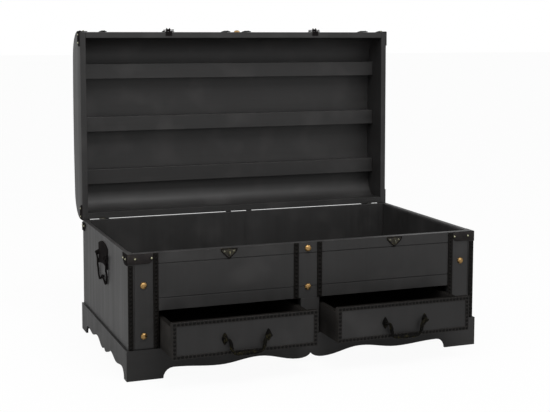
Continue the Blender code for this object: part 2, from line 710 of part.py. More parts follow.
def make_hasp(side, x, lid):
    """A fixed plate with two ears, and the slotted hasp that swings on its pin between them."""
    face = FRONT - SEAT - HASP_PLATE_SHEET
    pin_y = face - HASP_KNUCKLE
    pin_z = LID_BASE + HASP_RISE
    at = (x, pin_y, pin_z)
    half = HASP_WIDTH / 2
    foot = LID_BASE + HASP_PLATE_RISE
    plate = solid((box, (x - HASP_PLATE_WIDTH / 2, x + HASP_PLATE_WIDTH / 2), (face, FRONT - SEAT),
                   (foot, foot + HASP_PLATE_HEIGHT)))
    ears = []
    for sign in (-1, 1):
        span = sorted((x + sign * (half + SEAT), x + sign * (half + SEAT + HASP_EAR)))
        round_end = arc(pin_y, pin_z, HASP_KNUCKLE, -math.pi / 2, -3 * math.pi / 2, 8)
        outline = [(face + OVERLAP, pin_z - HASP_KNUCKLE), *round_end, (face + OVERLAP, pin_z + HASP_KNUCKLE)]
        ears.append(solid((prism, outline, "X", span)))
    bore = solid((cylinder, at, HASP_PIN + PIN_CLEARANCE, "X", 2 * HASP_PLATE_WIDTH, 16))
    plate = combined(combined(plate, ears), [bore], "DIFFERENCE")
    add(f"hasp_plate_{side}", plate, "black_iron", (x, FRONT, pin_z), lid)
    barrel = solid((cylinder, at, HASP_KNUCKLE - SEAT, "X", HASP_WIDTH, 16))
    tip = pin_z + HASP_LENGTH - half
    outline = [(x - half, pin_z), *arc(x, tip, half, math.pi, 0.0, 8), (x + half, pin_z)]
    tongue = solid((prism, outline, "Y", (pin_y - HASP_SHEET / 2, pin_y + HASP_SHEET / 2)))
    pin_end = half + HASP_EAR + HASP_PIN_END
    pin_start = half + HASP_EAR + 2 * SEAT
    middle = (x + (pin_end - pin_start) / 2, pin_y, pin_z)
    pin = solid((cylinder, middle, HASP_PIN, "X", pin_start + pin_end, 12))
    staple_reach = pin_z - (RIM_HEIGHT - STAPLE_DROP)
    slot_half = STAPLE_RADIUS + 2 * STAPLE_WIRE
    slot = solid((box, (x - HASP_SLOT / 2, x + HASP_SLOT / 2), (pin_y - HASP_SHEET, pin_y + HASP_SHEET),
                  (pin_z + staple_reach - slot_half, pin_z + staple_reach + slot_half)))
    swinging = combined(combined(tongue, [barrel, pin]), [slot], "DIFFERENCE")
    add(f"hasp_{side}", swinging, "black_iron", at, lid)


def make_side_handle(side, sign):
    """A back plate with two bosses, and the bail that swings in them."""
    wall = HALF_WIDTH + SEAT
    half = HANDLE_PLATE_WIDTH / 2
    foot = HANDLE_PLATE_TOP - HANDLE_PLATE_HEIGHT
    shoulder = HANDLE_PLATE_TOP - HANDLE_PLATE_ARCH
    middle = LID_MIDDLE
    outline = []
    for i in range(13):
        share = i / 6 - 1
        outline.append((middle + half * share, shoulder + HANDLE_PLATE_ARCH * math.cos(math.pi / 2 * share)))
    for i in range(13):
        share = 1 - i / 6
        outline.append((middle + half * share, foot + HANDLE_PLATE_HOLLOW * math.cos(math.pi / 2 * share)))
    plate = solid((prism, outline, "X", sides_of(wall, wall + HANDLE_SHEET, sign)))
    axis_x = sign * (HALF_WIDTH + HANDLE_STAND_OFF)
    bosses = []
    for end in (-1, 1):
        y = middle + end * (half - HANDLE_BOSS_LENGTH / 2)
        limits = (y - HANDLE_BOSS_LENGTH / 2, y + HANDLE_BOSS_LENGTH / 2)
        across = sides_of(wall + HANDLE_SHEET / 2, HALF_WIDTH + HANDLE_STAND_OFF, sign)
        pivot = (axis_x, y, HANDLE_PIVOT_HEIGHT)
        bosses.append(solid((cylinder, pivot, HANDLE_BOSS, "Y", HANDLE_BOSS_LENGTH, 16)))
        bosses.append(solid((box, across, limits, (HANDLE_PIVOT_HEIGHT - HANDLE_BOSS * 0.9,
                                                   HANDLE_PIVOT_HEIGHT + HANDLE_BOSS * 0.9))))
    plate = combined(plate, bosses)
    hole = solid((cylinder, (axis_x, middle, HANDLE_PIVOT_HEIGHT), HANDLE_ROD + PIN_CLEARANCE, "Y",
                  2 * HANDLE_PLATE_WIDTH, 16))
    add(f"handle_plate_{side}", combined(plate, [hole], "DIFFERENCE"), "black_iron",
        (sign * wall, middle, HANDLE_PIVOT_HEIGHT))
    rod = HANDLE_ROD
    leg = half + 0.0065
    knots = [(leg, -0.006, rod), (leg + 0.002, -0.030, rod), (leg + 0.0025, -0.046, rod),
             (leg - 0.003, -HANDLE_DROP + 0.010, rod), (leg - 0.0175, -HANDLE_DROP, rod),
             (leg - 0.034, -HANDLE_DROP + 0.006, rod), (0.009, -HANDLE_CUSP - 0.004, rod),
             (0.0, -HANDLE_CUSP, rod)]
    run = smooth_path(knots, 4)
    pin_end = half - HANDLE_BOSS_LENGTH - 0.001
    half_bail = [(pin_end, 0.0, rod), (leg - 0.005, 0.0, rod)]
    half_bail += [(leg - 0.005 + 0.005 * math.sin(t), -0.005 * (1 - math.cos(t)), rod)
                  for t in (math.pi / 8, math.pi / 4, 3 * math.pi / 8)]
    half_bail += run
    line = half_bail + [(-a, b, r) for a, b, r in reversed(half_bail[:-1])]
    path = [((axis_x, middle + a, HANDLE_PIVOT_HEIGHT + b), r) for a, b, r in line]
    add(f"handle_bail_{side}", solid((tube, path, (1.0, 0.0, 0.0))), "black_iron",
        (axis_x, middle, HANDLE_PIVOT_HEIGHT), smooth=math.radians(60))


def drawer_box(x_case, lengthways):
    """The open box behind a drawer front: two sides, a back and a raised bottom."""
    low = PLINTH_HEIGHT + SEAT
    high = low + DRAWER_SIDE_HEIGHT
    inner = (x_case[0] + DRAWER_SIDE, x_case[1] - DRAWER_SIDE)
    bottom = low + DRAWER_BOTTOM_RISE
    inside = solid((box, inner, (lengthways[0] - OVERLAP, lengthways[1] - DRAWER_SIDE),
                    (bottom + DRAWER_BOTTOM, high + OVERLAP)))
    under = solid((box, inner, (lengthways[0] - OVERLAP, lengthways[1] + OVERLAP), (low - OVERLAP, bottom)))
    return combined(solid((box, x_case, lengthways, (low, high))), [inside, under], "DIFFERENCE")


def ring_frame(shape, outer_x, outer_z, band, y):
    """A flat rectangular frame."""
    loops = []
    for depth in y:
        for inset in (0.0, band):
            xs = (outer_x[0] + inset, outer_x[1] - inset)
            zs = (outer_z[0] + inset, outer_z[1] - inset)
            corners = ((xs[0], zs[0]), (xs[1], zs[0]), (xs[1], zs[1]), (xs[0], zs[1]))
            loops.append([shape.verts.new((x, depth, z)) for x, z in corners])
    for one, two in ((0, 1), (1, 3), (3, 2), (2, 0)):
        for i in range(4):
            j = (i + 1) % 4
            shape.faces.new((loops[one][i], loops[one][j], loops[two][j], loops[two][i]))


def pull_plate(x, z):
    """A diamond plate with the drilled post that holds one end of the bail."""
    half_w = PLATE_WIDTH / 2
    half_h = PLATE_HEIGHT / 2
    waist = 0.55
    outline = []
    for a, b in ((0, 1), (waist, waist * 0.62), (1, 0), (waist, -waist * 0.62), (0, -1),
                 (-waist, -waist * 0.62), (-1, 0), (-waist, waist * 0.62)):
        outline.append((x + a * half_w, z + b * half_h))
    plate = solid((prism, outline, "Y", (FRONT - SEAT - PLATE_SHEET, FRONT - SEAT)))
    middle = FRONT - SEAT - POST_LENGTH / 2 - PLATE_SHEET / 2
    post = solid((cylinder, (x, middle, z), POST_RADIUS, "Y", POST_LENGTH, 14))
    pin = (x, FRONT - PULL_STAND_OFF, z)
    hole = solid((cylinder, pin, PULL_ROD + PIN_CLEARANCE, "X", 4 * POST_RADIUS, 14))
    return combined(combined(plate, [post]), [hole], "DIFFERENCE")


def make_pull(side, x, z, carrier):
    """Two plates and the swan-necked bail between them."""
    half = PULL_SPACING / 2
    for end, sign in SIDES:
        at = (x + sign * half, FRONT, z)
        add(f"pull_plate_{side}_{end}", pull_plate(at[0], z), "black_iron", at, carrier)
    rod = PULL_ROD
    grip = PULL_GRIP
    neck = half - POST_RADIUS - 0.0045
    drop = PULL_DROP
    knots = [(neck, 0.0, rod), (neck - 0.0045, -0.0045, rod), (neck - 0.0080, -0.0130, rod * 1.1),
             (neck - 0.0095, -0.0210, rod * 1.5), (neck - 0.0125, -0.0290, rod * 1.1),
             (neck - 0.0205, -drop + 0.0022, rod), (neck - 0.0265, -drop, grip * 0.86),
             (0.0095, -drop, grip * 0.80), (0.0, -drop, grip)]
    half_bail = [(half + POST_RADIUS + 0.001, 0.0, rod), *smooth_path(knots, 3)]
    line = half_bail + [(-a, b, r) for a, b, r in reversed(half_bail[:-1])]
    axis_y = FRONT - PULL_STAND_OFF
    path = [((x + a, axis_y, z + b), r) for a, b, r in line]
    add(f"pull_bail_{side}", solid((tube, path, (0.0, 1.0, 0.0), 10)), "black_iron",
        (x, axis_y, z), carrier, smooth=math.radians(60))


def make_drawer(side, sign):
    """One drawer: front, box, studded trim and pull."""
    front_span, case_span = drawer_span()
    x_front = sides_of(*front_span, sign)
    centre = sum(x_front) / 2
    home = Vector((centre, FRONT, PLINTH_HEIGHT))
    carrier = pivot(f"drawer_{side}", home + Vector((0.0, -DRAWER_OUT, 0.0)))
    HOME[carrier.name] = home
    z_front = (PLINTH_HEIGHT + DRAWER_FOOT_GAP, OPENING_TOP - DRAWER_TOP_GAP)
    board(f"drawer_front_{side}", x_front, (FRONT, FRAME_BACK), z_front, carrier=carrier)
    lengthways = (FRAME_BACK + SEAT, FRAME_BACK + SEAT + DRAWER_LENGTH)
    behind = (centre, lengthways[0], PLINTH_HEIGHT)
    case = drawer_box(sides_of(*case_span, sign), lengthways)
    add(f"drawer_box_{side}", case, "inner_wood", behind, carrier)
    shape = bmesh.new()
    margin = TRIM_MARGIN
    ring_frame(shape, (x_front[0] + margin, x_front[1] - margin), (z_front[0] + margin, z_front[1] - margin),
               TRIM_BAND, (FRONT - SEAT - TRIM_THICKNESS, FRONT - SEAT))
    add(f"drawer_trim_{side}", shape, "dark_trim", (centre, FRONT, sum(z_front) / 2), carrier)
    make_pull(side, centre, PLINTH_HEIGHT + PULL_RISE, carrier)


HOME = {}


def main():
    clear_scene()
    make_carcass()
    make_plinth()
    make_straps()
    make_brackets("body", RIM_HEIGHT, -1, (BRACKET_SIDE, BACK_BRACKET))
    make_catches()
    hinge_line = Vector((0.0, HINGE_Y, HINGE_Z))
    lid = pivot("lid", hinge_line, -LID_ANGLE)
    HOME[lid.name] = hinge_line
    make_lid_boards(lid)
    make_brackets("lid", LID_BASE, 1, (LID_FRONT_BRACKET, BACK_BRACKET), lid)
    make_hinges(lid)
    for side, sign in SIDES:
        make_hasp(side, HASP_X[side], lid)
        make_side_handle(side, sign)
        make_drawer(side, sign)


main()
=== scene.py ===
"""Storage chest: painted boards, nail-head straps, blackened iron fittings and brass studs.

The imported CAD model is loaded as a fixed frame. Its plain boards and the hinges get their finish here. The
sides, the curved lid, the straps, the drawer fronts, the pulls, the handles, the catches, the hasps and the
corner brackets are made anew in full detail, each on the body and in the place of the node it stands for.
"""

import json
from math import asin, cos, exp, pi, radians, sin, sqrt, tau

import bmesh
import bpy
from mathutils import Matrix, Vector


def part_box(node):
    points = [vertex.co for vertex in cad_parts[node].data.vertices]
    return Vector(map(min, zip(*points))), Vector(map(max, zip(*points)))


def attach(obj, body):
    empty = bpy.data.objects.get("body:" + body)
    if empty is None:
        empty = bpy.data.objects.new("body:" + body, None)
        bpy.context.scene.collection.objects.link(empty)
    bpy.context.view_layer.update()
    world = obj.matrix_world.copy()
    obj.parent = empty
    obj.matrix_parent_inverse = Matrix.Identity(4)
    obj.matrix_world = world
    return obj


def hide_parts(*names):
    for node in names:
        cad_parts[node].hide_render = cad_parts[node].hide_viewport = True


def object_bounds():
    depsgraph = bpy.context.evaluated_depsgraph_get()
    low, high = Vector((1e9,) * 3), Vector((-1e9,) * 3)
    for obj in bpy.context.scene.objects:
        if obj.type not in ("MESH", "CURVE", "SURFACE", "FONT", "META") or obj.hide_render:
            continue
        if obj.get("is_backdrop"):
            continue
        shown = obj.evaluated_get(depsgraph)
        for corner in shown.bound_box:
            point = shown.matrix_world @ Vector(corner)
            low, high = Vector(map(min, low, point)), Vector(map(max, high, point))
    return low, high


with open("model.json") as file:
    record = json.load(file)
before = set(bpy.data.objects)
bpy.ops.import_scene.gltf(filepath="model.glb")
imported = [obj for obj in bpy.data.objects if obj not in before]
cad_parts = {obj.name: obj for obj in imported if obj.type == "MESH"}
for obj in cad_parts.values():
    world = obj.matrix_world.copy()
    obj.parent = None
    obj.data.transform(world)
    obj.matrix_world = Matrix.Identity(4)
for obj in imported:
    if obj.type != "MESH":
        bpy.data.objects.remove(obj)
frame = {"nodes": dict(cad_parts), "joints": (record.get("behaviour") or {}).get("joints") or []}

bl_info = {
    "name": "Storage Chest",
    "version": (1, 0, 0),
    "blender": (4, 5, 0),
    "location": "3D View > Sidebar > Chest",
    "description": "Finishes and fittings of a storage chest with a curved lid and two drawers",
    "category": "Object",
}

NODES = frame["nodes"]
JOINTS = {joint["name"]: joint for joint in frame["joints"]}
SIDES = (("left", -1), ("right", 1))
ALONG = (1.0, 0.0, 0.0)
FORWARD = (0.0, -1.0, 0.0)

# Places of the carcass and the closed lid, as in the frame
SEAT = 0.0003
HALF_WIDTH = 0.4445
BOARD = 0.015
FRONT_BOARD = 0.016
INSIDE = HALF_WIDTH - BOARD
FRONT = -0.2445
BACK = 0.250
RIM = 0.291
RIM_BAND = 0.008
# Heights of the drawer boxes' top edges, which get painted shade
DRAWER_RIM = (0.138, 0.142)
LID_BASE = 0.2934
LID_RISE = 0.102
LID_RAIL = 0.030
LID_ROUND = 0.066
LID_SHELL = 0.012
LID_MIDDLE = (FRONT + BACK) / 2
LID_HALF = (BACK - FRONT) / 2
HINGE = Vector(JOINTS["lid_hinge"]["pos_m"])
LID_ANGLE = radians(JOINTS["lid_hinge"]["range_deg"][1])
OPENED = Matrix.Translation(HINGE) @ Matrix.Rotation(-LID_ANGLE, 4, "X") @ Matrix.Translation(-HINGE)

# Boards and drawer fronts
EASE = 0.0006
RIM_ROUND = 0.0075
RIM_RUN_OUT = 0.034
LID_EASE = 0.0010
DRAWER_CHAMFER = 0.0050
TRIM_WIDTH = 0.0092
TRIM_THICKNESS = 0.0011
TRIM_EASE = 0.0004

# Straps, nail heads and studs
STRAP_WIDTH = 0.012
STRAP_EASE = 0.0009
STRAP_EDGES = {"inner": 0.3734, "outer": HALF_WIDTH - STRAP_WIDTH, "centre": 0.024}
MIDDLE_SHIFT = -0.0060
NAIL_INSET = 0.0008
NAIL_SINK = 0.0002
DOME_RINGS = 3
DOME_SWEEP = 1.40
DOME_LEAN = 0.08
STUD_COLUMN = 0.408
POST_STUDS = (0.1008, 0.2175)
MIDDLE_STUDS = (0.1836, 0.2766)
LID_STUD = LID_BASE + 0.0150

# Fittings
BRACKET_HEIGHT = 0.026
BRACKET_SHEET = 0.0021
BRACKET_EASE = 0.0005
FACE_LEAF_HEIGHT = 0.0235
FACE_LEAF_ROUND = 0.013
SIDE_LEAF = 0.038
SIDE_LEAF_ROUND = 0.022
HINGE_RELIEF = 0.0045
BRACKET_NAIL_LEVEL = 0.0114
SIDE_LEAF_NAILS = (0.0070, 0.0285)
# Dark rings under the bracket nails, as painted shade round each head
NAIL_SHADE_RING_SHARE = 1.75
NAIL_SHADE_RING_HEIGHT = 0.0009
PULL_HALF_WIDTH = 0.0076
PULL_HALF_HEIGHT = 0.0144
PULL_PINCH = 1.3
CATCH_HALF_WIDTH = 0.0205
CATCH_HEIGHT = 0.0260
CATCH_SHEET = 0.0010
CATCH_BORDER = 0.0014
CATCH_BEAD = 0.0013
CATCH_NAIL_ASIDE = 0.0115
CATCH_NAIL_DROP = 0.0085
STAPLE_DROP = 0.0130
STAPLE_REACH = 0.0052
STAPLE_WIRE = 0.0013

# Corner brackets: kind, body, rim, the way the leaves run from it, and the reach along front and back
BRACKETS = (("body", "chest", RIM, -1, (0.0585, 0.040)), ("lid", "lid", LID_BASE, 1, (0.020, 0.020)))
FACE_LEAF_NAILS = {"chest": ((0.0169, 0.0551), (0.0080, 0.0310)), "lid": ((0.0110,), (0.0110,))}

# Lamps: name, place and width
LAMPS = (("key", (-3.3, -0.7, 1.9), 2.4), ("fill", (0.7, -3.6, 1.5), 2.4), ("top", (0.1, -1.35, 2.75), 1.45))
LAMP_TARGET = (0.0, 0.0, 0.35)
SENSOR_WIDTH = 36.0
FLOOR_HALF_SIZE = 30.0
FLOOR_COLOUR = (0.62, 0.62, 0.62)
FLOOR_SEEN = 0.95
FLOOR_MIRRORED = 0.30


def shade(name, description, *default):
    """A colour."""
    return bpy.props.FloatVectorProperty(name=name, description=description, subtype="COLOR", size=3, min=0.0,
                                         max=1.0, default=default)


def measure(name, description, low, high, default, kind="DISTANCE", unit="LENGTH"):
    """A number with a range: a length, unless another kind and unit are given."""
    return bpy.props.FloatProperty(name=name, description=description, subtype=kind, unit=unit, min=low, max=high,
                                   default=default)


def angle(name, description, degrees):
    """An angle of the camera."""
    return bpy.props.FloatProperty(name=name, description=description, subtype="ANGLE", unit="ROTATION",
                                   default=radians(degrees))


def power(name, description, watts):
    """The power of a lamp."""
    return bpy.props.FloatProperty(name=name, description=description, subtype="POWER", unit="POWER", min=0.0,
                                   default=watts)


class ChestFinishes(bpy.types.PropertyGroup):
    """Colours and surface of the boards, straps and metal."""

    paint: shade("Paint", "Colour of the painted boards", 0.0118, 0.0113, 0.0112)
    inner: shade("Inner wood", "Colour of the drawer boxes and the base board", 0.0150, 0.0138, 0.0128)
    strip: shade("Strip", "Colour of the straps and the drawer trim", 0.0048, 0.0041, 0.0036)
    nail: shade("Nail heads", "Colour of the dark nail heads", 0.0022, 0.0020, 0.0018)
    iron: shade("Iron", "Colour of the pulls and the hinges", 0.0098, 0.0092, 0.0082)
    bracket: shade("Brackets", "Colour of the corner brackets", 0.0145, 0.0128, 0.0130)
    catch: shade("Catches", "Colour of the heart-shaped catch plates", 0.0210, 0.0190, 0.0145)
    # The staples' light colour is partly worn iron and partly painted highlight.
    staple: shade("Staples", "Colour of the staples", 0.0600, 0.0580, 0.0450)
    # This colour serves both rubbed metal and the painted glints on the pulls.
    iron_rub_and_glint: shade("Rubbed iron", "Colour where the blackening has rubbed off", 0.3200, 0.2700, 0.0700)
    brass: shade("Brass", "Colour of the large studs", 0.2850, 0.1770, 0.0700)
    pale_brass: shade("Pale brass", "Colour of the small bracket nails", 0.4600, 0.4500, 0.3200)
    grain_width: measure("Grain width", "Width of the finest line of the grain", 0.0005, 0.01, 0.0022)
    # The lighter edges this sets are partly worn paint and partly painted highlight.
    wear: measure("Wear", "How far the paint has rubbed off along the edges", 0.0, 1.0, 0.35, "FACTOR", "NONE")


class ChestFittings(bpy.types.PropertyGroup):
    """Sizes of what is nailed on."""

    strip_thickness: measure("Strip thickness", "Thickness of a strap under its nail heads", 0.001, 0.004, 0.0024)
    nail_diameter: measure("Nail diameter", "Diameter of a nail head on the straps and the trim", 0.004, 0.012,
                           0.0072)
    nail_height: measure("Nail height", "How far a nail head stands out of its strip", 0.0005, 0.003, 0.0017)
    nail_pitch: measure("Nail pitch", "Distance between nail heads", 0.006, 0.02, 0.0090)
    stud_diameter: measure("Stud diameter", "Diameter of the large brass studs", 0.008, 0.02, 0.0168)
    stud_height: measure("Stud height", "How far a brass stud stands out", 0.002, 0.008, 0.0052)
    tack_diameter: measure("Bracket nail diameter", "Diameter of the nails in the corner brackets", 0.003, 0.01,
                           0.0046)
    tack_height: measure("Bracket nail height", "How far a bracket nail stands out", 0.0005, 0.004, 0.0020)


class ChestStage(bpy.types.PropertyGroup):
    """Floor, light and camera."""

    camera_place: bpy.props.FloatVectorProperty(
        name="Camera", description="Where the camera stands", subtype="TRANSLATION", unit="LENGTH", size=3,
        default=(-1.04058, -2.72412, 0.79911))
    camera_yaw: angle("Yaw", "Turn of the camera to the right", 20.956)
    camera_pitch: angle("Pitch", "Tilt of the camera upwards", -5.419)
    camera_roll: angle("Roll", "Turn of the camera about its line of sight", 0.157)
    lens: measure("Lens", "Focal length on a sensor 36 mm wide", 20.0, 200.0, 74.91, "NONE", "NONE")
    rise: measure("Shift", "Upward shift of the picture, as a share of its width", -0.5, 0.5, -0.1273, "NONE",
                  "NONE")
    key: power("Key light", "Power of the large lamp at the left", 38.0)
    fill: power("Fill light", "Power of the large lamp in front", 12.0)
    top: power("Top light", "Power of the lamp above the front", 58.0)
    room: measure("Room light", "Strength of the soft light from the sides of the room", 0.0, 2.0, 0.45, "NONE",
                  "NONE")
    ceiling: measure("Ceiling light", "Strength of the soft light from straight above", 0.0, 2.0, 0.90, "NONE",
                     "NONE")


def finishes():
    return bpy.context.scene.chest_finishes


def fittings():
    return bpy.context.scene.chest_fittings


# Meshes


def finished(name, shape, kind, body, replaces=(), smooth=None):
    """Make a closed bmesh into a piece of one finish that rides on a body of the frame."""
    bmesh.ops.remove_doubles(shape, verts=shape.verts, dist=1e-6)
    bmesh.ops.recalc_face_normals(shape, faces=shape.faces)
    mesh = bpy.data.meshes.new(name)
    shape.to_mesh(mesh)
    shape.free()
    mesh.materials.append(finish(kind))
    if smooth is not None:
        mesh.shade_smooth()
        mesh.set_sharp_from_angle(angle=radians(smooth))
    return carried(bpy.data.objects.new(name, mesh), body, replaces)


def carried(obj, body, replaces=()):
    """Link a piece, let it ride on its body and hide the nodes that it stands for."""
    if not obj.users_collection:
        bpy.context.scene.collection.objects.link(obj)
    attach(obj, body)
    if replaces:
        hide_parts(*replaces)
    return obj


def on_lid(shape):
    """Turn a shape from where it is on the closed lid to where it is on the open one."""
    bmesh.ops.transform(shape, matrix=OPENED, verts=shape.verts)
    return shape


def turned_with(body, spots):
    """(point, facing) pairs given on the closed lid or on the body, as they are with the lid open."""
    turn = OPENED if body == "lid" else Matrix()
    return [(turn @ Vector(spot), turn.to_3x3() @ Vector(facing)) for spot, facing in spots]


def loft(shape, rings, cyclic=False):
    """Join rings of points into a closed skin; the ends are capped unless the last ring meets the first."""
    loops = [[shape.verts.new(point) for point in ring] for ring in rings]
    pairs = list(zip(loops, loops[1:]))
    if cyclic:
        pairs.append((loops[-1], loops[0]))
    else:
        shape.faces.new(loops[0])
        shape.faces.new(reversed(loops[-1]))
    count = len(loops[0])
    for low, high in pairs:
        for i in range(count):
            j = (i + 1) % count
            shape.faces.new((low[i], low[j], high[j], high[i]))
    return shape


def arc(a, b, radius, start, end, steps):
    """Points along an arc about (a, b)."""
    angles = [start + (end - start) * i / steps for i in range(steps + 1)]
    return [(a + radius * cos(t), b + radius * sin(t)) for t in angles]


def circle(centre, a, b, radius, sides):
    """Points of a circle in the plane of the directions a and b."""
    return [centre + a * (radius * cos(t)) + b * (radius * sin(t))
            for t in (tau * k / sides for k in range(sides))]


def eased_plate(shape, outline, place, low, high, ease):
    """A plate of any outline with an eased upper edge. place turns (a, b, height) into a point."""
    inner = shrunk(outline, ease)
    rings = [
        [place(a, b, low) for a, b in outline],
        [place(a, b, high - ease) for a, b in outline],
        [place(a + (c - a) * 0.3, b + (d - b) * 0.3, high - ease * 0.3) for (a, b), (c, d) in zip(outline, inner)],
        [place(a, b, high) for a, b in inner],
    ]
    return loft(shape, rings)


def shrunk(outline, by):
    """An outline moved inwards by a small step, along its mitres."""
    moved = []
    area = sum(a0 * b1 - a1 * b0 for (a0, b0), (a1, b1) in zip(outline, outline[1:] + outline[:1]))
    turn = 1.0 if area > 0 else -1.0
    for i, here in enumerate(outline):
        before = Vector(outline[i - 1])
        after = Vector(outline[(i + 1) % len(outline)])
        here = Vector(here)
        into = (here - before).normalized()
        out = (after - here).normalized()
        side = Vector((-(into + out).y, (into + out).x)) * turn
        if side.length < 1e-6:
            side = Vector((-into.y, into.x)) * turn
        side.normalize()
        lean = max(0.35, side.dot(Vector((-into.y, into.x)) * turn))
        moved.append(tuple(here + side * (by / lean)))
    return moved


def strap_section(thickness):
    """Cross-section of a strap: (across, up), flat below with rounded upper edges."""
    half = STRAP_WIDTH / 2
    right = arc(half - STRAP_EASE, thickness - STRAP_EASE, STRAP_EASE, 0.0, pi / 2, 3)
    return [(-half, 0.0), (half, 0.0), *right, *[(-a, b) for a, b in reversed(right)]]


def tube(shape, path, across, sides=14):
    """Sweep a round rod along a flat path of (point, radius)."""
    across = Vector(across)
    points = [Vector(point) for point, _ in path]
    rings = []
    for i, (_, radius) in enumerate(path):
        tangent = (points[min(i + 1, len(points) - 1)] - points[max(i - 1, 0)]).normalized()
        rings.append(circle(points[i], tangent.cross(across), across, radius, sides))
    return loft(shape, rings)


def turned(shape, profile, base, axis, sides=20):
    """Revolve (radius, height) points about an axis through base."""
    up = Vector(axis).normalized()
    a = up.orthogonal().normalized()
    b = up.cross(a)
    return loft(shape, [circle(Vector(base) + up * height, a, b, radius, sides) for radius, height in profile])


def smooth_path(knots, steps):
    """A smooth curve through knots of any number of values, headed at each knot as its neighbours lie."""
    ends = [knots[0], *knots, knots[-1]]
    path = []
    for near_knots in zip(ends, ends[1:], ends[2:], ends[3:]):
        for i in range(steps):
            t = i / steps
            weights = ((-t**3 + 2 * t**2 - t) / 2, (3 * t**3 - 5 * t**2 + 2) / 2,
                       (-3 * t**3 + 4 * t**2 + t) / 2, (t**3 - t**2) / 2)
            path.append(tuple(sum(w * p[k] for w, p in zip(weights, near_knots)) for k in range(len(knots[0]))))
    path.append(tuple(knots[-1]))
    return path


def lid_curve(outset=0.0):
    """(y, z, out_y, out_z) along the lid's outline: shoulder, crown and shoulder."""
    reach = LID_HALF - LID_ROUND
    climb = LID_RISE - LID_RAIL
    crown = (reach**2 + climb**2 - LID_ROUND**2) / (2 * (climb - LID_ROUND))
    lean = asin(reach / (crown - LID_ROUND))
    rail_top = LID_BASE + LID_RAIL
    spans = (
        (LID_MIDDLE - reach, rail_top, LID_ROUND, pi, pi / 2 + lean, 27),
        (LID_MIDDLE, LID_BASE + LID_RISE - crown, crown, pi / 2 + lean, pi / 2 - lean, 36),
        (LID_MIDDLE + reach, rail_top, LID_ROUND, pi / 2 - lean, 0.0, 27),
    )
    line = []
    for y, z, radius, start, end, steps in spans:
        for i in range(1 if line else 0, steps + 1):
            t = start + (end - start) * i / steps
            line.append((y + (radius + outset) * cos(t), z + (radius + outset) * sin(t),
                         cos(t), sin(t)))
    return line


# Finishes


def add_node(tree, kind, inputs=None, **properties):
    """Add a node, set its properties, and set or link its inputs."""
    made = tree.nodes.new(kind)
    for key, value in properties.items():
        setattr(made, key, value)
    for key, value in (inputs or {}).items():
        if isinstance(value, bpy.types.NodeSocket):
            tree.links.new(value, made.inputs[key])
        else:
            made.inputs[key].default_value = value
    return made


def first_of(tree, kind, inputs=None, **properties):
    """The first output of a new node."""
    return add_node(tree, kind, inputs, **properties).outputs[0]


def maths(tree, operation, a, b=0.0):
    return first_of(tree, "ShaderNodeMath", {0: a, 1: b}, operation=operation)


def product(tree, first, *others):
    """Multiply values."""
    for value in others:
        first = maths(tree, "MULTIPLY", first, value)
    return first


def weighed(tree, *parts):
    """Add up (value, weight) pairs."""
    total = product(tree, *parts[0])
    for part in parts[1:]:
        total = maths(tree, "ADD", total, product(tree, *part))
    return total


def mixed(tree, factor, a, b):
    """Mix two colours."""
    made = add_node(tree, "ShaderNodeMix", {"Factor": factor}, data_type="RGBA")
    for socket, value in ((made.inputs[6], a), (made.inputs[7], b)):
        if isinstance(value, bpy.types.NodeSocket):
            tree.links.new(value, socket)
        else:
            socket.default_value = (*value, 1.0)
    return made.outputs[2]


def spread(tree, value, low, high, to_low=0.0, to_high=1.0):
    """Spread a value from one range to another, held at its ends."""
    return first_of(tree, "ShaderNodeMapRange", {0: value, 1: low, 2: high, 3: to_low, 4: to_high})


def noise(tree, at, scale, stretch=(1.0, 1.0, 1.0), detail=2.0, roughness=0.5, shift=(0.0, 0.0, 0.0)):
    """Noise of a feature size 1/scale metres, squeezed along the axes by stretch."""
    size = [scale * value for value in stretch]
    placed = first_of(tree, "ShaderNodeMapping", {"Vector": at, "Scale": size, "Location": shift})
    return first_of(tree, "ShaderNodeTexNoise",
                    {"Vector": placed, "Scale": 1.0, "Detail": detail, "Roughness": roughness})


def rounded(tree, radius):
    """The normal, rounded over the edges of a piece."""
    return first_of(tree, "ShaderNodeBevel", {"Radius": radius}, samples=4)


def edge_mask(tree, radius, low=0.02, high=0.30):
    """1 on the edges of a piece, 0 on its faces."""
    flat = add_node(tree, "ShaderNodeNewGeometry").outputs["Normal"]
    along = add_node(tree, "ShaderNodeVectorMath", {0: rounded(tree, radius), 1: flat}, operation="DOT_PRODUCT")
    return spread(tree, maths(tree, "SUBTRACT", 1.0, along.outputs["Value"]), low, high)


def ledges(tree, at, low, high):
    """1 on the faces that look upwards between two heights, 0 elsewhere."""
    facing = add_node(tree, "ShaderNodeTexCoord").outputs["Normal"]
    up = add_node(tree, "ShaderNodeSeparateXYZ", {"Vector": facing}).outputs["Z"]
    height = add_node(tree, "ShaderNodeSeparateXYZ", {"Vector": at}).outputs["Z"]
    level = product(tree, maths(tree, "GREATER_THAN", height, low), maths(tree, "LESS_THAN", height, high))
    return product(tree, maths(tree, "GREATER_THAN", up, 0.3), level)


def scaled(colour, by):
    return tuple(min(1.0, value * by) for value in colour)


def surface(made, metallic=0.0, specular=0.5):
    """The nodes of a new material, its Principled shader, and the object's own coordinates."""
    made.use_nodes = True
    tree = made.node_tree
    shader = tree.nodes["Principled BSDF"]
    shader.inputs["Metallic"].default_value = metallic
    shader.inputs["Specular IOR Level"].default_value = specular
    return tree, shader, add_node(tree, "ShaderNodeTexCoord").outputs["Object"]


def dress(tree, shader, colour, roughness, height, strength, depth, edge_round=0.0):
    """Give a shader its colour, its roughness and its relief."""
    relief = {"Strength": strength, "Distance": depth, "Height": height}
    if edge_round:
        relief["Normal"] = rounded(tree, edge_round)
    bump = first_of(tree, "ShaderNodeBump", relief)
    for name, value in (("Base Color", colour), ("Roughness", roughness), ("Normal", bump)):
        tree.links.new(value, shader.inputs[name])


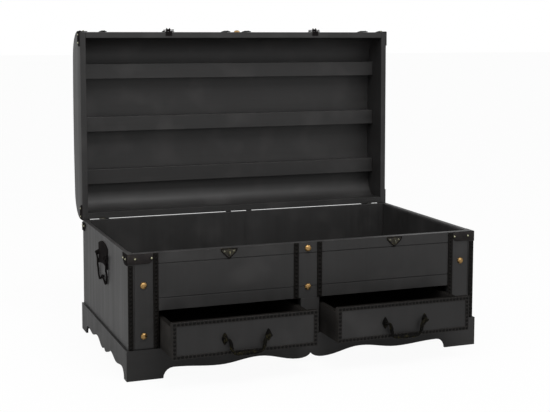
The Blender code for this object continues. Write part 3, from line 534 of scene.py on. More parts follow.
def painted_wood(made, colour, stretch, sheen=(0.46, 0.62), contrast=1.0, wear=None, specular=0.32,
                 painted_shade_ledges=None):
    """Thin satin paint over wood: fine pores and broad streaks along the grain, clouds, lighter edges (partly worn
    paint, partly painted highlight) and, if asked, painted shade darkening the upward ledges.
    """
    look = finishes()
    tree, shader, at = surface(made, specular=specular)
    pores = noise(tree, at, 1.0 / look.grain_width, stretch, 3.0, 0.6)
    streaks = noise(tree, at, 0.13 / look.grain_width, stretch, 3.0, 0.55, (3.1, 1.7, 0.4))
    clouds = noise(tree, at, 7.0, detail=3.0, roughness=0.6)
    tone = weighed(tree, (pores, 0.34), (streaks, 0.40), (clouds, 0.26))
    tone = spread(tree, tone, 0.5 - 0.16 / contrast, 0.5 + 0.16 / contrast)
    base = mixed(tree, tone, scaled(colour, 0.70), scaled(colour, 1.35))
    smudges = noise(tree, at, 11.0, roughness=0.45, shift=(0.7, 2.3, 5.1))
    base = mixed(tree, product(tree, spread(tree, smudges, 0.52, 0.70), 0.6), base, scaled(colour, 2.2))
    # Lighter along the edges: partly worn paint, partly painted highlight on the eased edges.
    rubbed = product(tree, edge_mask(tree, 0.0022), spread(tree, clouds, 0.35, 0.65, 0.3, 1.0),
                     look.wear if wear is None else wear)
    base = mixed(tree, rubbed, base, scaled(colour, 3.2))
    # Painted shade: faces looking upwards between two heights are darkened and lose most of their gloss.
    if painted_shade_ledges:
        low, high, gloss = painted_shade_ledges
        dark = ledges(tree, at, low, high)
        base = mixed(tree, dark, base, scaled(colour, 0.55))
        tree.links.new(spread(tree, dark, 0.0, 1.0, specular, specular * gloss), shader.inputs["Specular IOR Level"])
    dull = spread(tree, weighed(tree, (streaks, 0.6), (pores, 0.4)), 0.3, 0.7, *sheen)
    dress(tree, shader, base, dull, weighed(tree, (pores, 0.7), (streaks, 0.6)), 0.22, 0.0006, 0.0009)


def blackened_metal(made, colour, rub_and_glint_share, roughness, pits, specular, edge_wear=1.0, metallic=0.0, rub_and_glint_tone=1.0):
    """Blackened metal: uneven gloss, small pits, and warm light specks in spots and on edges, partly rubbed metal and
    partly painted glints.
    """
    tree, shader, at = surface(made, metallic, specular)
    specks = noise(tree, at, 420.0, roughness=0.65)
    blotches = noise(tree, at, 75.0, shift=(5.0, 2.0, 1.0))
    # Warm specks: partly rubbed metal, partly painted glints; on the pulls they are mostly painted glints.
    worn = product(tree, spread(tree, specks, 0.52, 0.72), spread(tree, blotches, 0.42, 0.66))
    edges = product(tree, edge_mask(tree, 0.0010, 0.03, 0.35), spread(tree, blotches, 0.35, 0.6, 0.0, edge_wear))
    worn = product(tree, maths(tree, "MAXIMUM", worn, edges), rub_and_glint_share)
    base = mixed(tree, blotches, scaled(colour, 0.65), scaled(colour, 1.4))
    base = mixed(tree, worn, base, scaled(finishes().iron_rub_and_glint, rub_and_glint_tone))
    dull = spread(tree, specks, 0.3, 0.7, roughness[1], roughness[0])
    dress(tree, shader, base, dull, specks, 0.35 * pits, 0.0004, 0.0005)


def old_brass(made, colour, roughness=(0.24, 0.46), tarnish=0.45):
    """Brass that has darkened in patches."""
    tree, shader, at = surface(made, metallic=1.0)
    patches = noise(tree, at, 260.0, roughness=0.6)
    scratches = noise(tree, at, 1500.0, (1.0, 0.2, 1.0), detail=1.0)
    dark = product(tree, spread(tree, patches, 0.45, 0.70), tarnish)
    base = mixed(tree, dark, colour, (colour[0] * 0.42, colour[1] * 0.34, colour[2] * 0.30))
    dress(tree, shader, base, spread(tree, patches, 0.3, 0.7, *roughness), scratches, 0.25, 0.0003)


def pressed_strip(made, colour, specular):
    """The strip under the nail heads: a dark leather-like band with a fine pebbled face."""
    tree, shader, at = surface(made, specular=specular)
    pebbles = add_node(tree, "ShaderNodeTexVoronoi", {"Vector": at, "Scale": 900.0}).outputs["Distance"]
    clouds = noise(tree, at, 60.0, detail=3.0)
    base = mixed(tree, spread(tree, clouds, 0.3, 0.7), scaled(colour, 0.7), scaled(colour, 1.45))
    dress(tree, shader, base, spread(tree, clouds, 0.3, 0.7, 0.42, 0.60), pebbles, 0.30, 0.0004)


GRAIN_ACROSS = {"stretch": (0.022, 1.0, 1.0)}
GRAIN_BACKWARD = {"stretch": (1.0, 0.022, 1.0)}
GRAIN_UPRIGHT = {"stretch": (1.0, 1.0, 0.022)}

# The slot of each finish, its maker, the colour it starts from, how far that is darkened, and its settings
FINISHES = {
    "paint_upright": ("charcoal_wood", painted_wood, "paint", 1.0, GRAIN_UPRIGHT),
    # Front board: the upward faces of its grooves get painted shade, darker and half as glossy.
    "paint_grooved": ("charcoal_wood", painted_wood, "paint", 1.0,
                      {**GRAIN_UPRIGHT, "wear": 0.2, "painted_shade_ledges": (0.0, RIM - RIM_BAND, 0.5)}),
    "paint_across": ("charcoal_wood", painted_wood, "paint", 1.0, GRAIN_ACROSS),
    # The plinth paint is darkened to 0.8 and made less glossy: painted shade from the drawers above and from the
    # floor.
    "paint_foot": ("charcoal_wood", painted_wood, "paint", 0.8, {**GRAIN_UPRIGHT, "specular": 0.25}),
    "paint_foot_across": ("charcoal_wood", painted_wood, "paint", 0.8, {**GRAIN_ACROSS, "specular": 0.25}),
    "paint_drawer": ("charcoal_wood", painted_wood, "paint", 0.85, {**GRAIN_UPRIGHT, "wear": 0.0, "specular": 0.27}),
    # Drawer boxes: their top edges get painted shade, near black and nearly without gloss.
    "inner_wood": ("inner_wood", painted_wood, "inner", 1.0,
                   {**GRAIN_BACKWARD, "sheen": (0.7, 0.85), "contrast": 1.4, "specular": 0.08,
                    "painted_shade_ledges": (*DRAWER_RIM, 0.05)}),
    "strip": ("dark_trim", pressed_strip, "strip", 1.0, {"specular": 0.06}),
    "trim_band": ("dark_trim", pressed_strip, "strip", 1.5, {"specular": 0.16}),
    # Near black and almost without gloss: painted shade for the drawer fronts' top faces.
    "edge_black": ("dark_trim", pressed_strip, "strip", 0.8, {"specular": 0.04}),
    "nails": ("dark_trim", blackened_metal, "nail", 1.0,
              {"rub_and_glint_share": 0.0, "roughness": (0.42, 0.60), "pits": 0.4, "specular": 0.08}),
    "strap_nails": ("dark_trim", blackened_metal, "nail", 1.0,
                    {"rub_and_glint_share": 0.02, "roughness": (0.45, 0.62), "pits": 0.4, "specular": 0.07}),
    "iron": ("black_iron", blackened_metal, "iron", 1.0,
             {"rub_and_glint_share": 0.45, "roughness": (0.36, 0.58), "pits": 1.0, "specular": 0.30}),
    "matt_iron": ("black_iron", blackened_metal, "bracket", 0.55,
                  {"rub_and_glint_share": 0.02, "roughness": (0.66, 0.82), "pits": 0.8, "specular": 0.004, "edge_wear": 0.3}),
    "bracket_iron": ("black_iron", blackened_metal, "bracket", 1.0,
                     {"rub_and_glint_share": 0.05, "roughness": (0.60, 0.80), "pits": 0.7, "specular": 0.06, "edge_wear": 0.2}),
    # The pulls' light olive specks are painted glints on the near-black iron.
    "pulls": ("black_iron", blackened_metal, "iron", 0.25,
              {"rub_and_glint_share": 0.6, "roughness": (0.34, 0.55), "pits": 1.4, "specular": 0.03, "edge_wear": 0.35,
               "rub_and_glint_tone": 0.26}),
    "catch_face": ("black_iron", blackened_metal, "catch", 1.0,
                   {"rub_and_glint_share": 0.35, "roughness": (0.4, 0.6), "pits": 1.0, "specular": 0.2}),
    # Staples: light, partly worn iron and partly painted highlight.
    "worn_iron": ("black_iron", blackened_metal, "staple", 1.0,
                  {"rub_and_glint_share": 0.8, "roughness": (0.3, 0.5), "pits": 1.0, "specular": 0.4, "metallic": 0.6}),
    "brass": (None, old_brass, "brass", 1.0, {}),
    "pale_brass": (None, old_brass, "pale_brass", 0.75, {"roughness": (0.34, 0.54), "tarnish": 0.25}),
    # Dark rings under the bracket nails: painted shade round each head.
    "ring_brass": (None, old_brass, "pale_brass", 0.08, {"roughness": (0.45, 0.6), "tarnish": 0.25}),
}


def finish(kind):
    """The material of one finish, made the first time it is asked for."""
    made = bpy.data.materials.get("chest_" + kind)
    if made is None:
        made = bpy.data.materials.new("chest_" + kind)
        _, maker, colour, tone, settings = FINISHES[kind]
        maker(made, scaled(getattr(finishes(), colour), tone), **settings)
    return made


# Rows of nail heads


def dome_rows_tree():
    """Geometry Nodes that set domes along every edge path, facing where the attribute facing points."""
    found = bpy.data.node_groups.get("dome_rows")
    if found:
        return found
    tree = bpy.data.node_groups.new("dome_rows", "GeometryNodeTree")
    for name, kind in (("Geometry", "Geometry"), ("Pitch", "Float"), ("Diameter", "Float"), ("Height", "Float"),
                       ("Sides", "Int"), ("Unevenness", "Float"), ("Seed", "Int"), ("Smooth", "Bool"),
                       ("Material", "Material")):
        tree.interface.new_socket(name, in_out="INPUT", socket_type="NodeSocket" + kind)
    tree.interface.new_socket("Geometry", in_out="OUTPUT", socket_type="NodeSocketGeometry")
    given = add_node(tree, "NodeGroupInput").outputs

    # Where the domes stand
    curve = first_of(tree, "GeometryNodeMeshToCurve", {0: given["Geometry"]})
    spots = first_of(tree, "GeometryNodeResampleCurve", {"Curve": curve, "Length": given["Pitch"]}, mode="LENGTH")

    # One dome, from a drum that is drawn in towards its top
    drum = first_of(tree, "GeometryNodeMeshCylinder", {"Vertices": given["Sides"], "Side Segments": DOME_RINGS,
                                                       "Fill Segments": 1, "Radius": 1.0, "Depth": 1.0})
    place = add_node(tree, "ShaderNodeSeparateXYZ", {0: first_of(tree, "GeometryNodeInputPosition")}).outputs
    turn = product(tree, maths(tree, "ADD", place[2], 0.5), DOME_SWEEP)
    width = maths(tree, "COSINE", turn)
    top = first_of(tree, "ShaderNodeCombineXYZ", {0: product(tree, place[0], width), 1: product(tree, place[1], width),
                                                  2: maths(tree, "SINE", turn)})
    dome = first_of(tree, "GeometryNodeSetPosition", {"Geometry": drum, "Position": top})

    # How each one faces, leans and grows
    facing = first_of(tree, "GeometryNodeInputNamedAttribute", {"Name": "facing"}, data_type="FLOAT_VECTOR")
    upright = first_of(tree, "FunctionNodeAlignRotationToVector", {"Vector": facing}, axis="Z")
    spin = first_of(tree, "FunctionNodeRandomValue", {0: (-DOME_LEAN, -DOME_LEAN, 0.0), 1: (DOME_LEAN, DOME_LEAN, tau),
                                                      "Seed": given["Seed"]}, data_type="FLOAT_VECTOR")
    lean = first_of(tree, "FunctionNodeEulerToRotation", {0: spin})
    leaning = first_of(tree, "FunctionNodeRotateRotation", {0: upright, 1: lean}, rotation_space="LOCAL")
    grow = add_node(tree, "FunctionNodeRandomValue", {
        2: maths(tree, "SUBTRACT", 1.0, given["Unevenness"]), 3: maths(tree, "ADD", 1.0, given["Unevenness"]),
        "Seed": maths(tree, "ADD", given["Seed"], 7.0)}, data_type="FLOAT").outputs[1]
    radius = product(tree, given["Diameter"], 0.5, grow)
    size = first_of(tree, "ShaderNodeCombineXYZ", {0: radius, 1: radius, 2: product(tree, given["Height"], grow)})

    rows = first_of(tree, "GeometryNodeInstanceOnPoints",
                    {"Points": spots, "Instance": dome, "Rotation": leaning, "Scale": size})
    real = first_of(tree, "GeometryNodeRealizeInstances", {0: rows})
    shaded = first_of(tree, "GeometryNodeSetShadeSmooth", {"Geometry": real, "Shade Smooth": given["Smooth"]})
    made = first_of(tree, "GeometryNodeSetMaterial", {"Geometry": shaded, "Material": given["Material"]})
    add_node(tree, "NodeGroupOutput", {0: made})
    return tree


def dome_rows(name, paths, body, kind, **settings):
    """Set domes along paths of (point, facing), as one plain mesh that rides on a body."""
    mesh = bpy.data.meshes.new(name + "_paths")
    points, edges, facing = [], [], []
    for path in paths:
        first = len(points)
        points += [tuple(point) for point, _ in path]
        facing += [value for _, out in path for value in out]
        edges += [(first + i, first + i + 1) for i in range(len(path) - 1)]
    mesh.from_pydata(points, edges, [])
    mesh.attributes.new("facing", "FLOAT_VECTOR", "POINT").data.foreach_set("vector", facing)
    source = bpy.data.objects.new(name + "_paths", mesh)
    bpy.context.scene.collection.objects.link(source)
    tree = dome_rows_tree()
    sockets = {item.name: item.identifier for item in tree.interface.items_tree if item.in_out == "INPUT"}
    setter = source.modifiers.new("rows", "NODES")
    setter.node_group = tree
    for key, value in {"Material": finish(kind), "Sides": 12, "Smooth": True, **settings}.items():
        setter[sockets[key]] = value
    made = bpy.data.meshes.new_from_object(source.evaluated_get(bpy.context.evaluated_depsgraph_get()))
    made.name = name
    bpy.data.objects.remove(source, do_unlink=True)
    if not made.polygons:
        raise RuntimeError(name + " came out empty")
    return carried(bpy.data.objects.new(name, made), body)


def nail_settings(seed):
    sizes = fittings()
    return {"Pitch": sizes.nail_pitch, "Diameter": sizes.nail_diameter, "Height": sizes.nail_height,
            "Unevenness": 0.04, "Seed": seed}


def short_path(point, facing):
    """A path so short that it holds one dome."""
    point = Vector(point)
    aside = Vector(facing).orthogonal().normalized() * 1e-5
    return [(point - aside, facing), (point + aside, facing)]


# Operators


BOARD_FINISHES = {
    "paint_upright": ("back_board", "corner_post_left", "corner_post_right", "centre_partition"),
    "paint_grooved": ("front_board",),
    "paint_foot": ("plinth_left", "plinth_right"),
    "paint_foot_across": ("plinth_front",),
    "paint_across": ("chest_floor", "lid_front_rail", "lid_back_rail", "lid_batten_front", "lid_batten_middle",
                     "lid_batten_back"),
    "inner_wood": ("base_board", "drawer_box_left", "drawer_box_right"),
    "iron": tuple(f"hinge_leaf_{part}_{side}" for part in ("body", "lid") for side, _ in SIDES),
}


class CHEST_OT_boards(bpy.types.Operator):
    """Give each board and plain fitting of the frame its finish"""

    bl_idname = "chest.boards"
    bl_label = "Boards and plain fittings"

    def execute(self, context):
        for kind, names in BOARD_FINISHES.items():
            for name in names:
                node = NODES[name]
                if not node.material_slots:
                    raise RuntimeError(name + " has no material slot")
                for slot in node.material_slots:
                    slot.link = "OBJECT"
                    slot.material = finish(kind)
        return {"FINISHED"}


class CHEST_OT_sides(bpy.types.Operator):
    """The side boards, with a round along the inner edge of the rim that runs out at both ends"""

    bl_idname = "chest.sides"
    bl_label = "Side boards"

    def execute(self, context):
        near, far = FRONT + FRONT_BOARD, BACK - BOARD
        steps = [RIM_RUN_OUT * k / 6 for k in range(1, 7)]
        for side, sign in SIDES:
            node = f"side_board_{side}"
            low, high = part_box(node)
            outer, inner = (low.x, high.x) if sign < 0 else (high.x, low.x)
            stations = [low.y, near, *(near + step for step in steps), *(far - step for step in reversed(steps)), far,
                        high.y]
            rings = []
            for y in stations:
                share = max(0.0, min(1.0, (y - near) / RIM_RUN_OUT, (far - y) / RIM_RUN_OUT))
                radius = EASE + (RIM_ROUND - EASE) * share * share * (3 - 2 * share)
                ring = [(outer, y, low.z), (outer, y, high.z - EASE), (outer - sign * EASE, y, high.z)]
                ring += [(inner + sign * radius * (1 - sin(t)), y, high.z - radius * (1 - cos(t)))
                         for t in (pi / 2 * k / 8 for k in range(9))]
                rings.append([*ring, (inner, y, low.z)])
            finished(f"side_{side}", loft(bmesh.new(), rings), "paint_upright", "chest", (node,), 40)
        return {"FINISHED"}


def strap(name, line, middle, body, replaces=()):
    """A strap along a line of (y, z, out_y, out_z), and the path of the nails that keep clear of its ends."""
    sizes = fittings()
    section = strap_section(sizes.strip_thickness)
    shape = loft(bmesh.new(), [[(middle + a, y + b * out_y, z + b * out_z) for a, b in section]
                               for y, z, out_y, out_z in line])
    finished(name, on_lid(shape) if body == "lid" else shape, "strip", body, replaces, 50)
    up = sizes.strip_thickness - NAIL_SINK
    path = [(Vector((middle, y + up * out_y, z + up * out_z)), Vector((0.0, out_y, out_z)))
            for y, z, out_y, out_z in line]
    for end, beside in ((0, 1), (-1, -2)):
        spot, facing = path[end]
        inwards = (path[beside][0] - spot).normalized()
        path[end] = (spot + inwards * (sizes.nail_diameter / 2 + NAIL_INSET), facing)
    return turned_with(body, path)


class CHEST_OT_straps(bpy.types.Operator):
    """Nail-head straps in pairs on the corner posts and beside the middle"""

    bl_idname = "chest.straps"
    bl_label = "Straps on the body"

    def execute(self, context):
        paths = []
        for place in STRAP_EDGES:
            for side, _ in SIDES:
                node = f"{place}_strap_{side}"
                low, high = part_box(node)
                line = [(FRONT - SEAT, z, -1.0, 0.0) for z in (low.z, high.z)]
                paths.append(strap(f"strap_{place}_{side}", line, (low.x + high.x) / 2, "chest", (node,)))
        dome_rows("strap_nails", paths, "chest", "strap_nails", **nail_settings(3))
        return {"FINISHED"}


class CHEST_OT_lid_top(bpy.types.Operator):
    """The curved top and the end boards of the lid, with nail-head straps over the curve"""

    bl_idname = "chest.lid_top"
    bl_label = "Curved lid"

    def execute(self, context):
        outer = [(y, z) for y, z, _, _ in lid_curve()]
        inner = [(y, z) for y, z, _, _ in lid_curve(-LID_SHELL)]
        rings = [[(x, y, z) for y, z in outer + inner[::-1]] for x in (-INSIDE, INSIDE)]
        finished("lid_shell", on_lid(loft(bmesh.new(), rings)), "paint_across", "lid", ("lid_top",), 30)
        outline = [(FRONT, LID_BASE), *outer, (BACK, LID_BASE)]
        for side, sign in SIDES:
            shape = eased_plate(bmesh.new(), outline, lambda a, b, height: (height * sign, a, b), INSIDE + SEAT,
                                HALF_WIDTH, LID_EASE)
            finished(f"lid_end_board_{side}", on_lid(shape), "paint_upright", "lid", (f"lid_end_{side}",), 30)
        over = lid_curve(SEAT)
        paths = []
        for place, edge in STRAP_EDGES.items():
            foot = LID_BASE + (BRACKET_HEIGHT + SEAT if place == "outer" else 0.0)
            line = [(over[0][0], foot, -1.0, 0.0), *over, (over[-1][0], foot, 1.0, 0.0)]
            for side, sign in SIDES:
                middle = sign * (edge + STRAP_WIDTH / 2) + (MIDDLE_SHIFT if place == "centre" else 0.0)
                paths.append(strap(f"lid_strap_{place}_{side}", line, middle, "lid"))
        dome_rows("lid_strap_nails", paths, "lid", "strap_nails", **nail_settings(5))
        return {"FINISHED"}


class CHEST_OT_drawer_fronts(bpy.types.Operator):
    """Drawer fronts with eased edges and a near-black top edge that is painted shade, framed by rows of round nail
    heads
    """

    bl_idname = "chest.drawer_fronts"
    bl_label = "Drawer fronts"

    def execute(self, context):
        ease, half = TRIM_EASE, TRIM_WIDTH / 2
        section = [(TRIM_WIDTH, 0.0), (0.0, 0.0), (0.0, TRIM_THICKNESS - ease), (ease, TRIM_THICKNESS),
                   (TRIM_WIDTH - ease, TRIM_THICKNESS), (TRIM_WIDTH, TRIM_THICKNESS - ease)]
        for number, (side, _) in enumerate(SIDES):
            body = f"drawer_{side}"
            low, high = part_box(f"drawer_front_{side}")
            self.panel(side, body, low, high)
            face = low.y - SEAT
            corners = ((low.x, low.z, 1, 1), (high.x, low.z, -1, 1), (high.x, high.z, -1, -1), (low.x, high.z, 1, -1))
            rings = [[(x + a * right, face - b, z + a * up) for a, b in section] for x, z, right, up in corners]
            shape = loft(bmesh.new(), rings, cyclic=True)
            finished(f"trim_band_{side}", shape, "trim_band", body, (f"drawer_trim_{side}",), 40)
            spots = [Vector((x + right * half, face - TRIM_THICKNESS + NAIL_SINK / 2, z + up * half))
                     for x, z, right, up in corners]
            paths = []
            for a, b in zip(spots, spots[1:] + spots[:1]):
                count = round((b - a).length / fittings().nail_pitch)
                paths += [short_path(a + (b - a) * (k / count), FORWARD) for k in range(count)]
            dome_rows(f"trim_nails_{side}", paths, body, "nails", **nail_settings(11 + number))
        return {"FINISHED"}

    def panel(self, side, body, low, high):
        """The board, with a chamfer along the inside of its top edge."""
        profile = [(low.y, low.z + EASE), (low.y, high.z - EASE), (low.y + EASE, high.z),
                   (high.y - DRAWER_CHAMFER, high.z), (high.y, high.z - DRAWER_CHAMFER), (high.y, low.z),
                   (low.y + EASE, low.z)]
        rings = []
        for x, inset in ((low.x, EASE), (low.x + EASE, 0.0), (high.x - EASE, 0.0), (high.x, EASE)):
            rings.append([(x, max(y, low.y + inset) if y < low.y + EASE else y, z) for y, z in profile])
        obj = finished(f"drawer_panel_{side}", loft(bmesh.new(), rings), "paint_drawer", body,
                       (f"drawer_front_{side}",))
        obj.data.materials.append(finish("edge_black"))
        obj.data.materials.append(finish("inner_wood"))
        # Upward faces take the near-black finish, a painted shade on the top edge; the end faces take the inner wood.
        for face in obj.data.polygons:
            if face.normal.z > 0.5:
                face.material_index = 1
            elif abs(face.normal.x) > 0.5:
                face.material_index = 2


def bulge(at, centre, width, height):
    """A smooth bump in a radius."""
    return height * exp(-((at - centre) / width) ** 2)


def mirrored_line(line):
    """A line of (across, down, radius) points, carried on past its middle to the other side."""
    return line + [(-a, b, radius) for a, b, radius in reversed(line[:-1])]


def pull_line():
    """(across, down, radius) of half a drawer bail, from its pin to its turned middle."""
    knots = [(0.0470, 0.0000, 0.0026), (0.0438, -0.0020, 0.0032), (0.0414, -0.0080, 0.0040),
             (0.0400, -0.0150, 0.0039), (0.0388, -0.0215, 0.0038), (0.0368, -0.0276, 0.0034),
             (0.0328, -0.0328, 0.0032), (0.0265, -0.0348, 0.0036), (0.0180, -0.0346, 0.0044),
             (0.0090, -0.0346, 0.0042), (0.0, -0.0346, 0.0048)]
    grip = ((0.0, 0.0034, 0.0014), (0.0074, 0.0012, 0.0014), (0.0110, 0.0011, 0.0008), (0.0170, 0.0026, 0.0008),
            (0.0232, 0.0012, 0.0010))
    neck = ((-0.0135, 0.0028, 0.0008), (-0.0215, 0.0018, 0.0012))
    grip_level, pin_start = -0.0335, 0.045
    shaped = []
    for a, b, radius in [(0.0572, 0.0, 0.0026), (0.052, 0.0, 0.0026), *smooth_path(knots, 9)]:
        if b < grip_level:
            radius += sum(bulge(a, *bump) for bump in grip)
        if a < pin_start:
            radius += sum(bulge(b, *bump) for bump in neck)
        shaped.append((a, b, radius))
    return shaped


class CHEST_OT_pulls(bpy.types.Operator):
    """The drawer pulls: pointed plates with turned posts, and the swan-necked bail"""

    bl_idname = "chest.pulls"
    bl_label = "Drawer pulls"

    def execute(self, context):
        for side, _ in SIDES:
            axis = Vector(JOINTS[f"pull_swing_{side}"]["pos_m"])
            path = [((axis.x + a, axis.y, axis.z + b), radius) for a, b, radius in mirrored_line(pull_line())]
            shape = tube(bmesh.new(), path, (0.0, 1.0, 0.0))
            finished(f"bail_{side}", shape, "pulls", f"pull_{side}", (f"pull_bail_{side}",), 60)
            for end, _ in SIDES:
                self.plate(side, end)
        return {"FINISHED"}

    def plate(self, side, end):
        """A pointed plate with a raised middle, and the knobbed post through which the bail's pin runs."""
        node = f"pull_plate_{side}_{end}"
        low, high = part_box(node)
        x, z, wall = (low.x + high.x) / 2, (low.z + high.z) / 2, high.y
        outline = []
        for t in (tau * k / 32 for k in range(32)):
            c, s = cos(t), sin(t)
            pinch = (abs(c) ** PULL_PINCH + abs(s) ** PULL_PINCH) ** (-1 / PULL_PINCH)
            outline.append((PULL_HALF_WIDTH * pinch * c, PULL_HALF_HEIGHT * pinch * s))
        steps = ((1.0, 0.0), (1.0, 0.0009), (0.93, 0.0014), (0.66, 0.0016), (0.60, 0.0027), (0.40, 0.0031))
        shape = loft(bmesh.new(), [[(x + a * share, wall - height, z + b * share) for a, b in outline]
                                   for share, height in steps])
        post = ((0.0046, 0.0025), (0.0046, 0.0034), (0.0030, 0.0044), (0.0028, 0.0062), (0.0040, 0.0076),
                (0.0046, 0.0094), (0.0044, 0.0120), (0.0034, 0.0139), (0.0018, 0.0151), (0.0004, 0.0155))
        turned(shape, post, (x, wall, z), FORWARD)
        finished(f"pull_rose_{side}_{end}", shape, "pulls", f"drawer_{side}", (node,), 40)


class CHEST_OT_side_handles(bpy.types.Operator):
    """The side handles: a plate arched above and hollow below, two round knobs and the drop bail"""

    bl_idname = "chest.side_handles"
    bl_label = "Side handles"

    def execute(self, context):
        half, rod, drop, cusp, bend = 0.048, 0.0023, 0.0650, 0.0505, 0.005
        leg = half - 0.0018
        knots = [(leg, -0.006, rod), (leg + 0.0005, -0.030, rod), (leg + 0.0020, -0.044, rod),
                 (leg - 0.002, -drop + 0.010, rod), (leg - 0.0130, -drop, rod), (leg - 0.029, -drop + 0.006, rod),
                 (0.009, -cusp - 0.004, rod), (0.0, -cusp, rod)]
        line = [(half - 0.008, 0.0, rod), (leg - bend, 0.0, rod)]
        line += [(leg - bend + bend * sin(t), -bend * (1 - cos(t)), rod)
                 for t in (pi * k / 16 for k in range(1, 8))]
        line = mirrored_line(line + smooth_path(knots, 8))
        for side, sign in SIDES:
            axis = Vector(JOINTS[f"handle_swing_{side}"]["pos_m"])
            path = [((axis.x - sign * self.towards_wall(-b), axis.y + a, axis.z + b), radius)
                    for a, b, radius in line]
            finished(f"side_bail_{side}", tube(bmesh.new(), path, ALONG), "matt_iron", f"handle_{side}",
                     (f"handle_bail_{side}",), 60)
            self.plate(side, sign, axis)
        return {"FINISHED"}

    def towards_wall(self, down):
        """The legs lean in twice: off the pivots to the plate, and under the plate to the wall."""
        leans = ((0.003, 0.013, 0.0026), (0.031, 0.012, 0.0018))
        return sum(depth * min(1.0, max(0.0, (down - start) / run)) for start, run, depth in leans)

    def plate(self, side, sign, axis):
        """The plate, its two knobs and the loops for the bail's ends."""
        node = f"handle_plate_{side}"
        low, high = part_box(node)
        wall = sign * (HALF_WIDTH + SEAT)
        half = (high.y - low.y) / 2
        middle = (high.y + low.y) / 2
        shares = [k / 12 - 1 for k in range(25)]
        arch, hollow = ([(middle + half * share, base + rise * cos(pi / 2 * share)) for share in shares]
                        for base, rise in ((high.z - 0.0080, 0.0105), (low.z, 0.0068)))
        shape = eased_plate(bmesh.new(), hollow + arch[::-1], lambda a, b, height: (wall + sign * height, a, b), 0.0,
                            0.0020, 0.0005)
        knob = ((0.0066, 0.0), (0.0066, 0.0022), (0.0058, 0.0042), (0.0040, 0.0058), (0.0004, 0.0066))
        loop = ((0.0030, -0.0040), (0.0044, -0.0034), (0.0044, 0.0034), (0.0030, 0.0040))
        for end in (-1, 1):
            turned(shape, knob, (wall + sign * 0.0012, axis.y + end * (half - 0.0042), axis.z), (sign, 0.0, 0.0))
            turned(shape, loop, (axis.x, axis.y + end * (half - 0.0060), axis.z), (0.0, 1.0, 0.0), 16)
        finished(f"handle_shield_{side}", shape, "matt_iron", "chest", (node,), 40)


class CHEST_OT_catches(bpy.types.Operator):
    """The heart-shaped catch plates with a rolled border, two round nails and a staple"""

    bl_idname = "chest.catches"
    bl_label = "Catches"

    def execute(self, context):
        for side, _ in SIDES:
            node = f"catch_{side}"
            low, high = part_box(node)
            self.catch(side, node, (low.x + high.x) / 2, high.y, high.z)
        return {"FINISHED"}

    def catch(self, side, node, x, wall, top):
        half, tall = CATCH_HALF_WIDTH, CATCH_HEIGHT
        knots = [(0.0, -tall), (half * 0.42, -tall * 0.72), (half * 0.88, -tall * 0.36), (half, -tall * 0.12),
                 (half * 0.93, 0.0)]
        right = smooth_path(knots, 6)
        outline = [(x + a, top + b) for a, b in right] + [(x - a, top + b) for a, b in reversed(right[1:])]
        shape = eased_plate(bmesh.new(), outline, lambda a, b, height: (a, wall - height, b), 0.0, CATCH_SHEET, 0.0003)
        finished(f"heart_plate_{side}", shape, "catch_face", "chest", (node,), 40)

        border = [Vector((a, wall - CATCH_SHEET, min(b, top - CATCH_BORDER)))
                  for a, b in shrunk(outline, CATCH_BORDER)]
        out = Vector(FORWARD)
        rings = []
        for before, point, after in zip(border[-1:] + border, border, border[1:] + border[:1]):
            rings.append(circle(point, (after - before).normalized().cross(out), out, CATCH_BEAD, 8))
        finished(f"heart_border_{side}", loft(bmesh.new(), rings, cyclic=True), "matt_iron", "chest", (), 60)

        shape = bmesh.new()
        nail = [(radius, CATCH_SHEET + height)
                for radius, height in ((0.0031, -0.0003), (0.0031, 0.0005), (0.0022, 0.0015), (0.0004, 0.0019))]
        for sign in (-1, 1):
            turned(shape, nail, (x + sign * CATCH_NAIL_ASIDE, wall, top - CATCH_NAIL_DROP), FORWARD, 12)
        centre = top - STAPLE_DROP
        bow = [(wall - CATCH_SHEET - 0.0020 - a, centre + b)
               for a, b in arc(0.0, 0.0, STAPLE_REACH, -pi / 2, pi / 2, 16)]
        bow = [(wall - 0.0004, centre - STAPLE_REACH), *bow, (wall - 0.0004, centre + STAPLE_REACH)]
        tube(shape, [((x, y, z), STAPLE_WIRE) for y, z in bow], ALONG, 12)
        finished(f"staple_{side}", shape, "worn_iron", "chest", (), 40)


